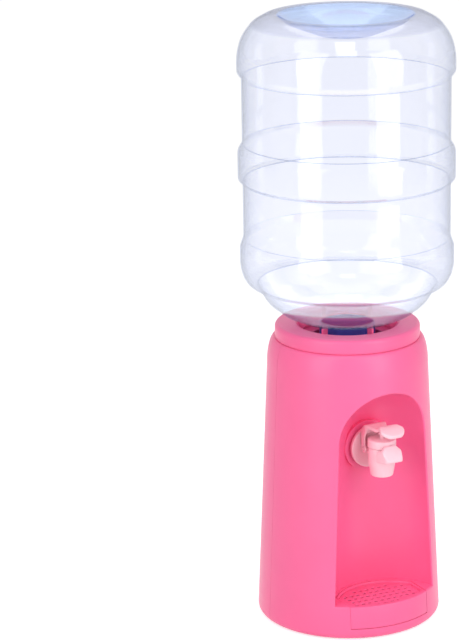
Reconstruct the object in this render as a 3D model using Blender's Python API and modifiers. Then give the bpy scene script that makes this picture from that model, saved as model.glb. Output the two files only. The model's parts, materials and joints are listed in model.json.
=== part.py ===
"""A countertop water dispenser: a round housing with a cup niche, a lever tap, a drip tray and an inverted bottle.

Metres, +Z up, the tap faces -Y, and the origin is under the middle of the foot.
Run it with: blender --background --python part.py
"""

import math

import bmesh
import bpy
from mathutils import Matrix, Vector

# Clearances.
GAP = 0.0003  # between faces that touch, and round a pin in its hole

# Housing.
BODY_RADIUS = 0.0922  # of the cone, at the floor
BODY_TAPER = 0.046  # radius lost per metre of height
BODY_TOP_Z = 0.290
SHOULDER_HEIGHT = 0.028
WALL = 0.0025
FOOT_HEIGHT = 0.0015  # the rubber feet lift the housing by this
FOOT_FILLET = 0.0065
COLLAR_RADIUS = 0.0720
COLLAR_HEIGHT = 0.0140
COLLAR_ROUND = 0.0040
THROAT_RADIUS = 0.0480
LIP_WIDTH = 0.0020  # the shells' top lip, round the stack of flanges
LEDGE_WIDTH = 0.0048  # the ledge that carries the reservoir
BOTTOM_OPENING = 0.0825
BIG_SIDES = 32
BOTTLE_SIDES = 24
TANK_SIDES = 24
MIDDLE_SIDES = 20
SHANK_SIDES = 16
SMALL_SIDES = 12
TINY_SIDES = 8

# Base plate, feet and screws.
PLATE_THICKNESS = 0.0030
FOOT_RADIUS = 0.0080
FOOT_DEPTH = 0.0018  # how far a foot sits in the base plate
FOOT_CIRCLE = 0.0660
SCREW_CIRCLE = 0.0760
SCREW_RADIUS = 0.0016
SCREW_HEAD_RADIUS = 0.0036
SCREW_HEAD = 0.0014
SCREW_LENGTH = 0.0130
BOSS_RADIUS = 0.0045
BOSS_HEIGHT = 0.0190
BOSS_ANGLE = 60  # degrees from the front or the back

# Cup niche: a tapered half round, with a dome on top.
NICHE_AXIS_Y = -0.0820
NICHE_FLOOR_Z = 0.0360
NICHE_FLOOR_RADIUS = 0.0575
NICHE_DOME_RADIUS = 0.0510
NICHE_DOME_Z = 0.1980

# Drip tray and its grille.
TRAY_HALF_WIDTH = 0.0440
TRAY_REAR_MARGIN = 0.0035  # floor left between the tray and the niche wall
TRAY_FLOOR_Z = 0.0130
TRAY_WALL = 0.0022
TRAY_FRONT_WALL = 0.0055
TRAY_LEDGE = 0.0020
TRAY_RIM_DROP = 0.0003
GRILLE_THICKNESS = 0.0018
GRILLE_DROP = 0.0022  # from the tray's rim down to the grille
GRILLE_MARGIN = 0.0022
HOLE_PITCH_X = 0.00725
HOLE_PITCH_Y = 0.00770
HOLE_X = 0.0032
HOLE_Y = 0.0024
TRAY_TRAVEL = 0.070

# Tap.
TAP_Z = 0.1855
TAP_PAD_RADIUS = 0.0255
TAP_PAD_Y = -0.0380
TAP_AXIS_Y = -0.0660
FLANGE_RADIUS = 0.0210
FLANGE_THICKNESS = 0.0037
SHANK_RADIUS = 0.0080
SHANK_END_Y = -0.0220
WATERWAY_RADIUS = 0.0050
BARREL_RADIUS = 0.0066
TAP_BODY_RADIUS = 0.01325
TAP_CHAMBER_RADIUS = 0.0100
TAP_TOP_Z = 0.1923
SPOUT_RADIUS = 0.0110
SPOUT_BORE = 0.0088
SPOUT_TOP_Z = 0.1760
SPOUT_Z = 0.1630
VALVE_SEAT_THICKNESS = 0.0020
VALVE_SEAT_RADIUS = 0.0050
BONNET_RADIUS = 0.0140
BONNET_HEIGHT = 0.0080
BONNET_SKIRT_DEPTH = 0.0044
BONNET_SKIRT_WALL = 0.0016
VISOR_REACH = 0.0250  # from the tap's axis to the lip
VISOR_DROP = 0.0006  # from the tap's top edge to the visor's
VISOR_HALF_WIDTH = 0.0128
VISOR_LIP_HALF_WIDTH = 0.0090
STEM_RADIUS = 0.0022
STEM_TRAVEL = 0.0044
BUTTON_RADIUS = 0.0040
BUTTON_HEIGHT = 0.0018
COLLAR_STEM_RADIUS = 0.0068
COLLAR_STEM_HEIGHT = 0.0013
VALVE_RADIUS = 0.0072
VALVE_DISC = 0.0022
VALVE_SEAL = 0.0015
SPRING_RADIUS = 0.0056
SPRING_WIRE = 0.0005
SPRING_TURNS = 3
O_RING_RADIUS = 0.0033
O_RING_WIRE = 0.0008
O_RING_Z = 0.1961
WASHER_THICKNESS = 0.0017
WASHER_RADIUS = 0.0180
INNER_WASHER_RADIUS = 0.0150
NUT_RADIUS = 0.0140
NUT_THICKNESS = 0.0060

# Lever.
PIVOT_Y = -0.0500
PIVOT_Z = 0.1870
TRUNNION_RADIUS = 0.0021
LEVER_THICKNESS = 0.0026
LEVER_ARM_WIDTH = 0.0025
LEVER_FORK = 0.0095  # half the space between the arms
LEVER_HALF_WIDTH = 0.0130
LEVER_NECK_HALF_WIDTH = 0.0068
LEVER_TIP_Y = -0.0942

# Reservoir and the bottle's seat.
RESERVOIR_RADIUS = 0.0620
RESERVOIR_WELL_RADIUS = 0.0260
RESERVOIR_BOWL_Z = 0.2600
RESERVOIR_BOTTOM_Z = 0.1660
RESERVOIR_WALL = 0.0025
OUTLET_RADIUS = 0.0200
FLANGE_STACK = 0.0020  # thickness of the reservoir's and the seat's flanges
GASKET_THICKNESS = 0.0010
SEAT_CUP_RADIUS = 0.0360
SEAT_CUP_Z = 0.2660
SEAT_WALL = 0.0020
SEAT_RIBS = 6
RIB_THICKNESS = 0.0016
RIB_INNER_RADIUS = 0.0400
PROBE_RADIUS = 0.0060
PROBE_BORE = 0.0040
PROBE_FLANGE_RADIUS = 0.0120
PROBE_TOP_Z = 0.2857

# Bottle, upside down, with its cap.
BOTTLE_RADIUS = 0.1062
BOTTLE_WAIST = 0.1016
BOTTLE_HEIGHT = 0.3060  # from the root of the neck to the rim on top
BOTTLE_WALL = 0.0012
NECK_RADIUS = 0.0255
NECK_LENGTH = 0.0294
NECK_ROOT_RISE = 0.0010  # above the collar's top
SHOULDER_SLOPE = 3.0 / 22.0
CAP_RADIUS = 0.0280
CAP_Z = 0.2720
CAP_HEIGHT = 0.0310
CAP_FLOOR = 0.0020
LINER_THICKNESS = 0.0010
LINER_INNER_RADIUS = 0.0140
CAP_TUBE_RADIUS = 0.0074
CAP_TUBE_WALL = 0.0016
CAP_TUBE_HEIGHT = 0.0160
PLUG_HEAD_RADIUS = 0.0088
PLUG_LENGTH = 0.0050
PLUG_HEAD = 0.0015

# Worked out from the values above.
COLLAR_TOP_Z = BODY_TOP_Z + COLLAR_HEIGHT
SHOULDER_Z = BODY_TOP_Z - SHOULDER_HEIGHT
LIP_OUTER = COLLAR_RADIUS + 0.0008
LIP_INNER = LIP_OUTER - LIP_WIDTH
STACK_RADIUS = LIP_INNER - GAP
TONGUE_Z = BODY_TOP_Z - GAP
SEAT_FLANGE_Z = TONGUE_Z - GAP - FLANGE_STACK
GASKET_Z = SEAT_FLANGE_Z - GAP - GASKET_THICKNESS
RESERVOIR_FLANGE_Z = GASKET_Z - GAP - FLANGE_STACK
LEDGE_Z = RESERVOIR_FLANGE_Z - GAP
NECK_ROOT_Z = COLLAR_TOP_Z + NECK_ROOT_RISE
BONNET_Z = TAP_TOP_Z + GAP
BONNET_TOP_Z = BONNET_Z + BONNET_HEIGHT
BUTTON_Z = BONNET_TOP_Z + STEM_TRAVEL + GAP
STEM_TOP_Z = BUTTON_Z + BUTTON_HEIGHT
FLANGE_Y = TAP_PAD_Y - WASHER_THICKNESS - 2 * GAP
BORE_RADIUS = SHANK_RADIUS + GAP

PLASTICS = {
    "body_pink": ((1.0, 0.19, 0.40), 0.35),
    "tap_pink": ((1.0, 0.56, 0.65), 0.35),
    "inner_white": ((0.85, 0.85, 0.83), 0.5),
    "bottle_clear": ((0.80, 0.83, 0.93), 0.05),
    "cap_blue": ((0.03, 0.05, 0.35), 0.4),
    "rubber_grey": ((0.12, 0.12, 0.12), 0.8),
    "steel": ((0.6, 0.6, 0.6), 0.3),
}


# ---------------------------------------------------------------- scene and materials


def clear_scene():
    for obj in list(bpy.data.objects):
        bpy.data.objects.remove(obj, do_unlink=True)


def make_collection(name):
    collection = bpy.data.collections.new(name)
    bpy.context.scene.collection.children.link(collection)
    return collection


def make_material(name):
    colour, roughness = PLASTICS[name]
    material = bpy.data.materials.new(name)
    material.use_nodes = True
    shader = material.node_tree.nodes["Principled BSDF"]
    shader.inputs["Base Color"].default_value = (*colour, 1.0)
    shader.inputs["Roughness"].default_value = roughness
    shader.inputs["Metallic"].default_value = 1.0 if name == "steel" else 0.0
    if name == "bottle_clear":
        shader.inputs["Transmission Weight"].default_value = 0.9
    return material


clear_scene()
PARTS = make_collection("countertop_water_dispenser")
CUTTERS = make_collection("cutters")
MATERIALS = {name: make_material(name) for name in PLASTICS}


# ---------------------------------------------------------------- modelling tools


def add_object(name, mesh):
    """A mesh object among the helpers, until finish() makes it a part."""
    obj = bpy.data.objects.new(name, mesh)
    obj.hide_render = True
    obj.display_type = "WIRE"
    CUTTERS.objects.link(obj)
    return obj


def finish(obj, name, material, origin=None):
    """Makes a shape a part: its name, material, smooth shading and origin."""
    mesh = baked_mesh(obj)
    bpy.data.objects.remove(obj, do_unlink=True)
    part = bpy.data.objects.new(name, mesh)
    PARTS.objects.link(part)
    mesh.materials.append(MATERIALS[material])
    mesh.shade_smooth()
    mesh.set_sharp_from_angle(angle=math.radians(35))
    if origin:
        mesh.transform(Matrix.Translation(-Vector(origin)))
        part.location = origin
    return part


def baked_mesh(obj):
    """The object's evaluated mesh, welded and facing out."""
    bpy.context.view_layer.update()
    graph = bpy.context.evaluated_depsgraph_get()
    mesh = bpy.data.meshes.new_from_object(obj.evaluated_get(graph))
    mesh.transform(obj.matrix_world)
    shape = bmesh.new()
    shape.from_mesh(mesh)
    bmesh.ops.remove_doubles(shape, verts=shape.verts, dist=1e-6)
    bmesh.ops.dissolve_degenerate(shape, edges=shape.edges, dist=1e-6)
    bmesh.ops.recalc_face_normals(shape, faces=shape.faces)
    shape.to_mesh(mesh)
    shape.free()
    return mesh


def bake(obj):
    """Replaces an object by its evaluated mesh."""
    mesh = baked_mesh(obj)
    name = obj.name
    bpy.data.objects.remove(obj, do_unlink=True)
    return add_object(name, mesh)


def turned(name, profile, sides=BIG_SIDES, closed=True, at=(0, 0)):
    """Turns a profile of (radius, z) about Z. An open profile starts and ends on the axis."""
    mesh = bpy.data.meshes.new(name)
    points = [(radius, 0, z) for radius, z in profile]
    edges = [(i, i + 1) for i in range(len(points) - 1)]
    if closed:
        edges.append((len(points) - 1, 0))
    mesh.from_pydata(points, edges, [])
    obj = add_object(name, mesh)
    screw = obj.modifiers.new("turn", "SCREW")
    screw.axis = "Z"
    screw.steps = screw.render_steps = sides
    screw.use_merge_vertices = True
    screw.merge_threshold = 1e-5
    obj.location = (at[0], at[1], 0)
    return bake(obj)


def solid_turned(name, profile, sides=BIG_SIDES, at=(0, 0)):
    """A turned shape without a hole along its axis: the profile runs from the axis to the axis."""
    return turned(name, profile, sides, closed=False, at=at)


def rod(name, radius, start, end, sides=SMALL_SIDES, end_radius=None):
    """A round bar or cone between two points."""
    start, end = Vector(start), Vector(end)
    along = end - start
    shape = bmesh.new()
    bmesh.ops.create_cone(
        shape,
        cap_ends=True,
        segments=sides,
        radius1=radius,
        radius2=radius if end_radius is None else end_radius,
        depth=along.length,
    )
    turn = along.to_track_quat("Z", "Y").to_matrix().to_4x4()
    shape.transform(Matrix.Translation((start + end) / 2) @ turn)
    return from_bmesh(name, shape)


def block(name, low, high):
    """A box between two corners."""
    low, high = Vector(low), Vector(high)
    shape = bmesh.new()
    bmesh.ops.create_cube(shape, size=1.0)
    shape.transform(Matrix.Translation((low + high) / 2) @ Matrix.Diagonal((*(high - low), 1.0)))
    return from_bmesh(name, shape)


def from_bmesh(name, shape):
    mesh = bpy.data.meshes.new(name)
    shape.to_mesh(mesh)
    shape.free()
    return add_object(name, mesh)


def slab(name, outlines, low, high, turn=None):
    """A flat outline with holes, as thick as from low to high along its own Z, then turned."""
    curve = bpy.data.curves.new(name, "CURVE")
    curve.dimensions = "2D"
    curve.fill_mode = "BOTH"
    curve.extrude = (high - low) / 2
    for outline in outlines:
        spline = curve.splines.new("POLY")
        spline.points.add(len(outline) - 1)
        for point, (x, y) in zip(spline.points, outline):
            point.co = (x, y, 0, 1)
        spline.use_cyclic_u = True
    obj = add_object(name, curve)
    obj.matrix_world = (turn or Matrix()) @ Matrix.Translation((0, 0, (low + high) / 2))
    return bake(obj)


# A side outline is drawn as (y, z), and its thickness runs along X.
SIDE_VIEW = Matrix(((0, 0, 1, 0), (1, 0, 0, 0), (0, 1, 0, 0), (0, 0, 0, 1)))


def combine(obj, others, operation):
    for other in others:
        modifier = obj.modifiers.new(operation.lower(), "BOOLEAN")
        modifier.operation = operation
        modifier.object = other
    return bake(obj)


def cut(obj, *others):
    return combine(obj, others, "DIFFERENCE")


def join(obj, *others):
    return combine(obj, others, "UNION")


def keep_inside(obj, *others):
    return combine(obj, others, "INTERSECT")


def arc(centre, radius, start, end, steps):
    """Points along an arc, with its angles in degrees."""
    angles = [math.radians(start + (end - start) * i / steps) for i in range(steps + 1)]
    return [(centre[0] + radius * math.cos(a), centre[1] + radius * math.sin(a)) for a in angles]


def ring(name, inner, outer, low, high, sides=BIG_SIDES, at=(0, 0)):
    """A flat ring or a tube, upright."""
    return turned(name, [(outer, high), (outer, low), (inner, low), (inner, high)], sides, at=at)


def tube_along_y(name, inner, outer, start, end, z, sides=SMALL_SIDES):
    """A tube along Y, in the tap's plane."""
    tube = rod(name, outer, (0, start, z), (0, end, z), sides)
    overrun = 0.001
    first, last = min(start, end) - overrun, max(start, end) + overrun
    return cut(tube, rod(name + "_bore", inner, (0, first, z), (0, last, z), sides))


def around(radius, degrees):
    """A point on a circle. 0 degrees is the front, and it turns towards +X."""
    angle = math.radians(degrees)
    return radius * math.sin(angle), -radius * math.cos(angle)


# ---------------------------------------------------------------- housing


def body_radius(z):
    return BODY_RADIUS - BODY_TAPER * z


def shoulder(inset, top_z, steps):
    """The rounded shoulder, a quarter of an ellipse, from its foot up to top_z."""
    wide = body_radius(SHOULDER_Z) - LIP_OUTER
    end = math.asin(min(1.0, (top_z - SHOULDER_Z) / SHOULDER_HEIGHT))
    turns = [end * i / steps for i in range(steps + 1)]
    return [
        (LIP_OUTER - inset + wide * math.cos(turn), SHOULDER_Z + SHOULDER_HEIGHT * math.sin(turn))
        for turn in turns
    ]


def outer_profile(inset):
    """The housing's outline from its foot up, moved in by inset."""
    fillet_z = FOOT_HEIGHT + FOOT_FILLET
    centre = (body_radius(fillet_z) - FOOT_FILLET, fillet_z)
    return arc(centre, FOOT_FILLET - inset, -90, 0, 3) + shoulder(inset, BODY_TOP_Z, 5)


def body_core(name, inset):
    """The whole space inside the housing's outline."""
    points = outer_profile(inset)
    top = (0, points[-1][1] - inset)
    return solid_turned(name, [(0, points[0][1]), *points[:-1], (points[-1][0], top[1]), top])


def make_shell(name):
    """The housing's wall all round, with the ledge on top that carries the reservoir."""
    ledge_inner = LIP_INNER - LEDGE_WIDTH
    plate_top = FOOT_HEIGHT + WALL
    inner_foot = (body_radius(FOOT_HEIGHT + FOOT_FILLET) - WALL, FOOT_HEIGHT + FOOT_FILLET)
    inner_top = shoulder(WALL, LEDGE_Z - WALL, 2)
    profile = [
        *outer_profile(0),
        (LIP_INNER, BODY_TOP_Z),
        (LIP_INNER, LEDGE_Z),
        (ledge_inner, LEDGE_Z),
        (ledge_inner, LEDGE_Z - WALL),
        *reversed(inner_top),
        inner_foot,
        (BOTTOM_OPENING, plate_top),
        (BOTTOM_OPENING, FOOT_HEIGHT),
    ]
    return turned(name, profile)


def half_space(name, side):
    """All that lies on one side of the parting plane, at Y = 0: side is -1 for the front."""
    reach = 2 * BODY_RADIUS
    near, far = sorted((side * GAP / 2, side * reach))
    return block(name, (-reach, near, -reach), (reach, far, 2 * BODY_TOP_Z))


def screw_boss(name, degrees):
    """A boss for a base screw, with the rib that ties it to the housing's wall."""
    low = FOOT_HEIGHT + PLATE_THICKNESS + GAP
    x, y = around(SCREW_CIRCLE, degrees)
    boss = rod(name, BOSS_RADIUS, (x, y, low), (x, y, low + BOSS_HEIGHT), TINY_SIDES)
    reach = body_radius(low + BOSS_HEIGHT) - WALL / 2
    rib = block(name + "_rib", (SCREW_CIRCLE, -WALL / 2, low + WALL), (reach, WALL / 2, low + BOSS_HEIGHT))
    rib.rotation_euler.z = math.radians(degrees - 90)
    boss = join(boss, rib)
    hole = rod(name + "_hole", SCREW_RADIUS + GAP, (x, y, 0), (x, y, low + SCREW_LENGTH), TINY_SIDES)
    return cut(boss, hole)


def niche_shape(name, margin):
    """The cup niche's space, grown by margin: the tapered round and its dome."""
    dome = arc((0, NICHE_DOME_Z), NICHE_DOME_RADIUS + margin, 0, 90, 6)
    floor = NICHE_FLOOR_Z - margin
    # The dome is drawn about its own centre, so its last point lies on the axis.
    points = [(0, floor), (NICHE_FLOOR_RADIUS + margin, floor), *dome[:-1], (0, dome[-1][1])]
    return solid_turned(name, points, BIG_SIDES, at=(0, NICHE_AXIS_Y))


def tray_outline(inset, front):
    """The tray's plan: a round back, straight sides and, at radius front, the housing's curve."""
    half = TRAY_HALF_WIDTH - inset
    back = NICHE_FLOOR_RADIUS - TRAY_REAR_MARGIN - inset
    back_angle = math.degrees(math.acos(half / back))
    front_angle = math.degrees(math.asin(half / front))
    rear = arc((0, NICHE_AXIS_Y), back, back_angle, 180 - back_angle, 10)
    return rear + arc((0, 0), front, 270 - front_angle, 270 + front_angle, 6)


def make_front_shell():
    pocket_top = NICHE_FLOOR_Z + 0.001
    beyond = BODY_RADIUS * 1.3
    mid_wall = WALL / 2
    shell = keep_inside(make_shell("front_wall"), half_space("front_half", -1))
    niche_wall = keep_inside(niche_shape("niche_wall", WALL), body_core("niche_limit", mid_wall))
    pocket_wall = slab(
        "pocket_wall",
        [tray_outline(-GAP - WALL, body_radius(0) - WALL)],
        TRAY_FLOOR_Z - GAP - WALL,
        NICHE_FLOOR_Z - WALL / 2,
    )
    pocket_wall = keep_inside(pocket_wall, body_core("pocket_limit", mid_wall))
    shell = join(shell, niche_wall, pocket_wall)
    pocket = slab("pocket", [tray_outline(-GAP, beyond)], TRAY_FLOOR_Z - GAP, pocket_top)
    shell = cut(shell, niche_shape("niche", 0), pocket)
    pad_back = NICHE_AXIS_Y + NICHE_DOME_RADIUS + 2 * WALL
    pad = rod("tap_pad", TAP_PAD_RADIUS, (0, TAP_PAD_Y, TAP_Z), (0, pad_back, TAP_Z), MIDDLE_SIDES)
    hollow = rod(
        "pad_hollow",
        TAP_PAD_RADIUS - WALL,
        (0, TAP_PAD_Y + WALL, TAP_Z),
        (0, pad_back + WALL, TAP_Z),
        MIDDLE_SIDES,
    )
    bore = rod("tap_hole", BORE_RADIUS, (0, TAP_PAD_Y - WALL, TAP_Z), (0, pad_back, TAP_Z))
    shell = cut(join(shell, pad), hollow, bore)
    shell = join(shell, *(screw_boss("front_boss", side * BOSS_ANGLE) for side in (-1, 1)))
    return finish(shell, "front_shell", "body_pink")


def make_rear_shell():
    shell = keep_inside(make_shell("rear_wall"), half_space("rear_half", 1))
    shell = join(shell, *(screw_boss("rear_boss", 180 + side * BOSS_ANGLE) for side in (-1, 1)))
    return finish(shell, "rear_shell", "body_pink")


def make_top_cover():
    """The collar on top, with the throat for the neck and the ribs that the bottle rests on."""
    top, wall = COLLAR_TOP_Z, WALL
    tongue_outer = LIP_INNER - GAP
    inner_round = COLLAR_ROUND - wall
    profile = [
        (COLLAR_RADIUS, BODY_TOP_Z + GAP),
        *arc((COLLAR_RADIUS - COLLAR_ROUND, top - COLLAR_ROUND), COLLAR_ROUND, 0, 90, 3),
        (THROAT_RADIUS + 0.0035, top),
        (THROAT_RADIUS, top - 0.0025),
        (THROAT_RADIUS, TONGUE_Z),
        (THROAT_RADIUS + wall, TONGUE_Z),
        (THROAT_RADIUS + wall, top - 0.0040),
        (THROAT_RADIUS + wall + 0.0015, top - wall),
        (COLLAR_RADIUS - wall - inner_round, top - wall),
        (COLLAR_RADIUS - wall, top - COLLAR_ROUND),
        (COLLAR_RADIUS - wall, TONGUE_Z),
        (tongue_outer, TONGUE_Z),
        (tongue_outer, BODY_TOP_Z + GAP),
    ]
    cover = turned("cover", profile)
    ribs = [seat_rib(i * 360 / SEAT_RIBS) for i in range(SEAT_RIBS)]
    return finish(join(cover, *ribs), "top_cover", "body_pink")


def shoulder_z(radius):
    """The height of the bottle's underside near its neck."""
    return NECK_ROOT_Z + (radius - NECK_RADIUS) * SHOULDER_SLOPE


def seat_rib(degrees):
    """One fin in the throat: its top lies along the bottle's shoulder."""
    outer = THROAT_RADIUS + WALL / 2
    # The side view's outline is (y, z), so the fin is drawn at the front and then turned.
    outline = [
        (-outer, TONGUE_Z + 0.003),
        (-RIB_INNER_RADIUS, TONGUE_Z + 0.011),
        (-RIB_INNER_RADIUS, shoulder_z(RIB_INNER_RADIUS) - GAP),
        (-outer, shoulder_z(outer) - GAP),
    ]
    turn = Matrix.Rotation(math.radians(degrees), 4, "Z") @ SIDE_VIEW
    return slab("seat_rib", [outline], -RIB_THICKNESS / 2, RIB_THICKNESS / 2, turn)


def make_base_plate():
    low, high = FOOT_HEIGHT, FOOT_HEIGHT + PLATE_THICKNESS
    plate = rod("plate", BOTTOM_OPENING - GAP, (0, 0, low), (0, 0, high), BIG_SIDES)
    cutters = []
    for degrees in foot_angles():
        x, y = around(FOOT_CIRCLE, degrees)
        cutters.append(rod("foot_recess", FOOT_RADIUS + GAP, (x, y, -low), (x, y, low + FOOT_DEPTH)))
    for degrees in screw_angles():
        x, y = around(SCREW_CIRCLE, degrees)
        head_top = low + SCREW_HEAD + GAP
        cutters.append(rod("head_recess", SCREW_HEAD_RADIUS + GAP, (x, y, -low), (x, y, head_top), TINY_SIDES))
        cutters.append(rod("screw_hole", SCREW_RADIUS + GAP, (x, y, 0), (x, y, 2 * high), TINY_SIDES))
    return finish(cut(plate, *cutters), "base_plate", "body_pink")


def foot_angles():
    return [45, 135, 225, 315]


def screw_angles():
    return [-BOSS_ANGLE, BOSS_ANGLE, 180 - BOSS_ANGLE, 180 + BOSS_ANGLE]


def make_feet():
    for number, degrees in enumerate(foot_angles(), 1):
        x, y = around(FOOT_CIRCLE, degrees)
        top = FOOT_HEIGHT + FOOT_DEPTH - GAP
        foot = rod("foot", FOOT_RADIUS, (x, y, 0), (x, y, top), SMALL_SIDES)
        finish(foot, f"foot_{number}", "rubber_grey", (x, y, 0))


def make_base_screws():
    for number, degrees in enumerate(screw_angles(), 1):
        x, y = around(SCREW_CIRCLE, degrees)
        low = FOOT_HEIGHT
        neck = low + SCREW_HEAD
        profile = [
            (0, low),
            (SCREW_HEAD_RADIUS, low),
            (SCREW_HEAD_RADIUS, neck),
            (SCREW_RADIUS, neck),
            (SCREW_RADIUS, neck + SCREW_LENGTH),
            (0, neck + SCREW_LENGTH + SCREW_RADIUS),
        ]
        screw = solid_turned("screw", profile, TINY_SIDES, at=(x, y))
        finish(screw, f"base_screw_{number}", "steel")


# ---------------------------------------------------------------- water path


def make_reservoir():
    wall, well = RESERVOIR_WALL, RESERVOIR_WELL_RADIUS
    bowl_z = RESERVOIR_BOWL_Z
    top = RESERVOIR_FLANGE_Z + FLANGE_STACK
    chamfer = 0.004
    cone = 0.010
    profile = [
        (0, RESERVOIR_BOTTOM_Z),
        (well - chamfer, RESERVOIR_BOTTOM_Z),
        (well, RESERVOIR_BOTTOM_Z + chamfer),
        (well, bowl_z - cone),
        (RESERVOIR_RADIUS, bowl_z),
        (RESERVOIR_RADIUS, RESERVOIR_FLANGE_Z),
        (STACK_RADIUS, RESERVOIR_FLANGE_Z),
        (STACK_RADIUS, top),
        (RESERVOIR_RADIUS - wall, top),
        (RESERVOIR_RADIUS - wall, bowl_z + wall),
        (well - wall, bowl_z - cone + wall),
        (well - wall, RESERVOIR_BOTTOM_Z + chamfer + wall / 2),
        (well - chamfer - wall / 2, RESERVOIR_BOTTOM_Z + wall),
        (0, RESERVOIR_BOTTOM_Z + wall),
    ]
    tank = solid_turned("tank", profile, TANK_SIDES)
    front = TAP_PAD_Y + WALL + GAP
    outlet = rod("outlet", OUTLET_RADIUS, (0, front, TAP_Z), (0, 0, TAP_Z), MIDDLE_SIDES)
    outlet = cut(outlet, rod("well", well - wall / 2, (0, 0, 0), (0, 0, bowl_z), TANK_SIDES))
    tank = join(tank, outlet)
    inside = rod("outlet_space", OUTLET_RADIUS - wall, (0, front + wall, TAP_Z), (0, 0, TAP_Z), MIDDLE_SIDES)
    hole = rod("outlet_hole", BORE_RADIUS, (0, front - wall, TAP_Z), (0, 0, TAP_Z))
    return finish(cut(tank, inside, hole), "reservoir", "inner_white")


def make_bottle_seat():
    """The reservoir's lid, with the cup that takes the bottle's cap."""
    top = SEAT_FLANGE_Z + FLANGE_STACK
    floor = SEAT_CUP_Z - SEAT_WALL
    outer = SEAT_CUP_RADIUS + SEAT_WALL
    profile = [
        (STACK_RADIUS, top),
        (STACK_RADIUS, SEAT_FLANGE_Z),
        (outer, SEAT_FLANGE_Z),
        (outer, floor),
        (PROBE_BORE, floor),
        (PROBE_BORE, SEAT_CUP_Z),
        (SEAT_CUP_RADIUS, SEAT_CUP_Z),
        (SEAT_CUP_RADIUS, top),
    ]
    return finish(turned("seat", profile, TANK_SIDES), "bottle_seat", "inner_white")


def make_seat_gasket():
    gasket = ring("gasket", RESERVOIR_RADIUS, STACK_RADIUS, GASKET_Z, GASKET_Z + GASKET_THICKNESS, TANK_SIDES)
    return finish(gasket, "seat_gasket", "rubber_grey")


def make_probe():
    """The feed probe: it holds the cap's plug open, and water enters its windows."""
    low = SEAT_CUP_Z + GAP
    window_top = PROBE_TOP_Z - 0.003
    profile = [
        (PROBE_FLANGE_RADIUS, low + SEAT_WALL),
        (PROBE_FLANGE_RADIUS, low),
        (PROBE_BORE, low),
        (PROBE_BORE, window_top),
        (0, window_top),
        (0, PROBE_TOP_Z),
        (PROBE_RADIUS - 0.001, PROBE_TOP_Z),
        (PROBE_RADIUS, PROBE_TOP_Z - 0.001),
        (PROBE_RADIUS, low + SEAT_WALL),
    ]
    # The two points on the axis close the top, so the turned loop has no hole there.
    profile = profile[5:] + profile[:5]
    probe = solid_turned("probe", profile, SMALL_SIDES)
    half, reach = PROBE_BORE * 0.45, 2 * PROBE_RADIUS
    window_z = low + 0.010
    windows = [
        block("window_x", (-reach, -half, window_z), (reach, half, window_top - 0.001)),
        block("window_y", (-half, -reach, window_z), (half, reach, window_top - 0.001)),
    ]
    return finish(cut(probe, *windows), "feed_probe", "inner_white")


# ---------------------------------------------------------------- tap


def make_tap_body():
    y, z = TAP_AXIS_Y, TAP_Z
    flange_front = FLANGE_Y - FLANGE_THICKNESS
    flange_middle = FLANGE_Y - FLANGE_THICKNESS / 2
    outline = [
        (0, SPOUT_Z),
        (SPOUT_RADIUS, SPOUT_Z),
        (TAP_BODY_RADIUS, SPOUT_TOP_Z),
        (TAP_BODY_RADIUS, TAP_TOP_Z),
        (0, TAP_TOP_Z),
    ]
    body = solid_turned("tap_upright", outline, TANK_SIDES, at=(0, y))
    barrel = rod("tap_barrel", BARREL_RADIUS, (0, flange_middle, z), (0, y, z), MIDDLE_SIDES)
    flange = rod("tap_flange", FLANGE_RADIUS, (0, flange_front, z), (0, FLANGE_Y, z), TANK_SIDES)
    shank = rod("tap_shank", SHANK_RADIUS, (0, flange_middle, z), (0, SHANK_END_Y, z), SHANK_SIDES)
    reach = LEVER_FORK + LEVER_ARM_WIDTH
    trunnions = rod("trunnions", TRUNNION_RADIUS, (-reach, PIVOT_Y, PIVOT_Z), (reach, PIVOT_Y, PIVOT_Z), SMALL_SIDES)
    body = join(body, barrel, flange, shank, trunnions, make_visor())
    seat_top = SPOUT_TOP_Z
    cutters = [
        rod("chamber", TAP_CHAMBER_RADIUS, (0, y, seat_top), (0, y, TAP_TOP_Z + WALL), MIDDLE_SIDES),
        rod("valve_hole", VALVE_SEAT_RADIUS, (0, y, SPOUT_Z), (0, y, seat_top + WALL), SHANK_SIDES),
        rod("spout_bore", SPOUT_BORE, (0, y, SPOUT_Z - WALL), (0, y, seat_top - VALVE_SEAT_THICKNESS), MIDDLE_SIDES),
        rod("waterway", WATERWAY_RADIUS, (0, SHANK_END_Y + WALL, z), (0, y, z), SMALL_SIDES),
    ]
    return finish(cut(body, *cutters), "tap_body", "tap_pink")


def make_visor():
    """The splash nose under the bonnet: a side wedge that narrows towards its lip."""
    y = TAP_AXIS_Y
    inside = TAP_BODY_RADIUS * 0.8
    lip_y = y - VISOR_REACH
    lip_z = SPOUT_TOP_Z + 0.0060
    side = [
        (y - inside, TAP_TOP_Z - VISOR_DROP),
        (y - TAP_BODY_RADIUS - VISOR_DROP, TAP_TOP_Z - VISOR_DROP),
        (lip_y, lip_z + 0.0020),
        (lip_y, lip_z),
        (y - inside, SPOUT_TOP_Z + 0.0040),
    ]
    plan = [
        (-VISOR_HALF_WIDTH, y - inside),
        (-VISOR_LIP_HALF_WIDTH, lip_y - WALL),
        (VISOR_LIP_HALF_WIDTH, lip_y - WALL),
        (VISOR_HALF_WIDTH, y - inside),
    ]
    wedge = slab("visor", [side], -VISOR_HALF_WIDTH, VISOR_HALF_WIDTH, SIDE_VIEW)
    return keep_inside(wedge, slab("visor_plan", [plan], SPOUT_Z, TAP_TOP_Z + WALL))


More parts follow.
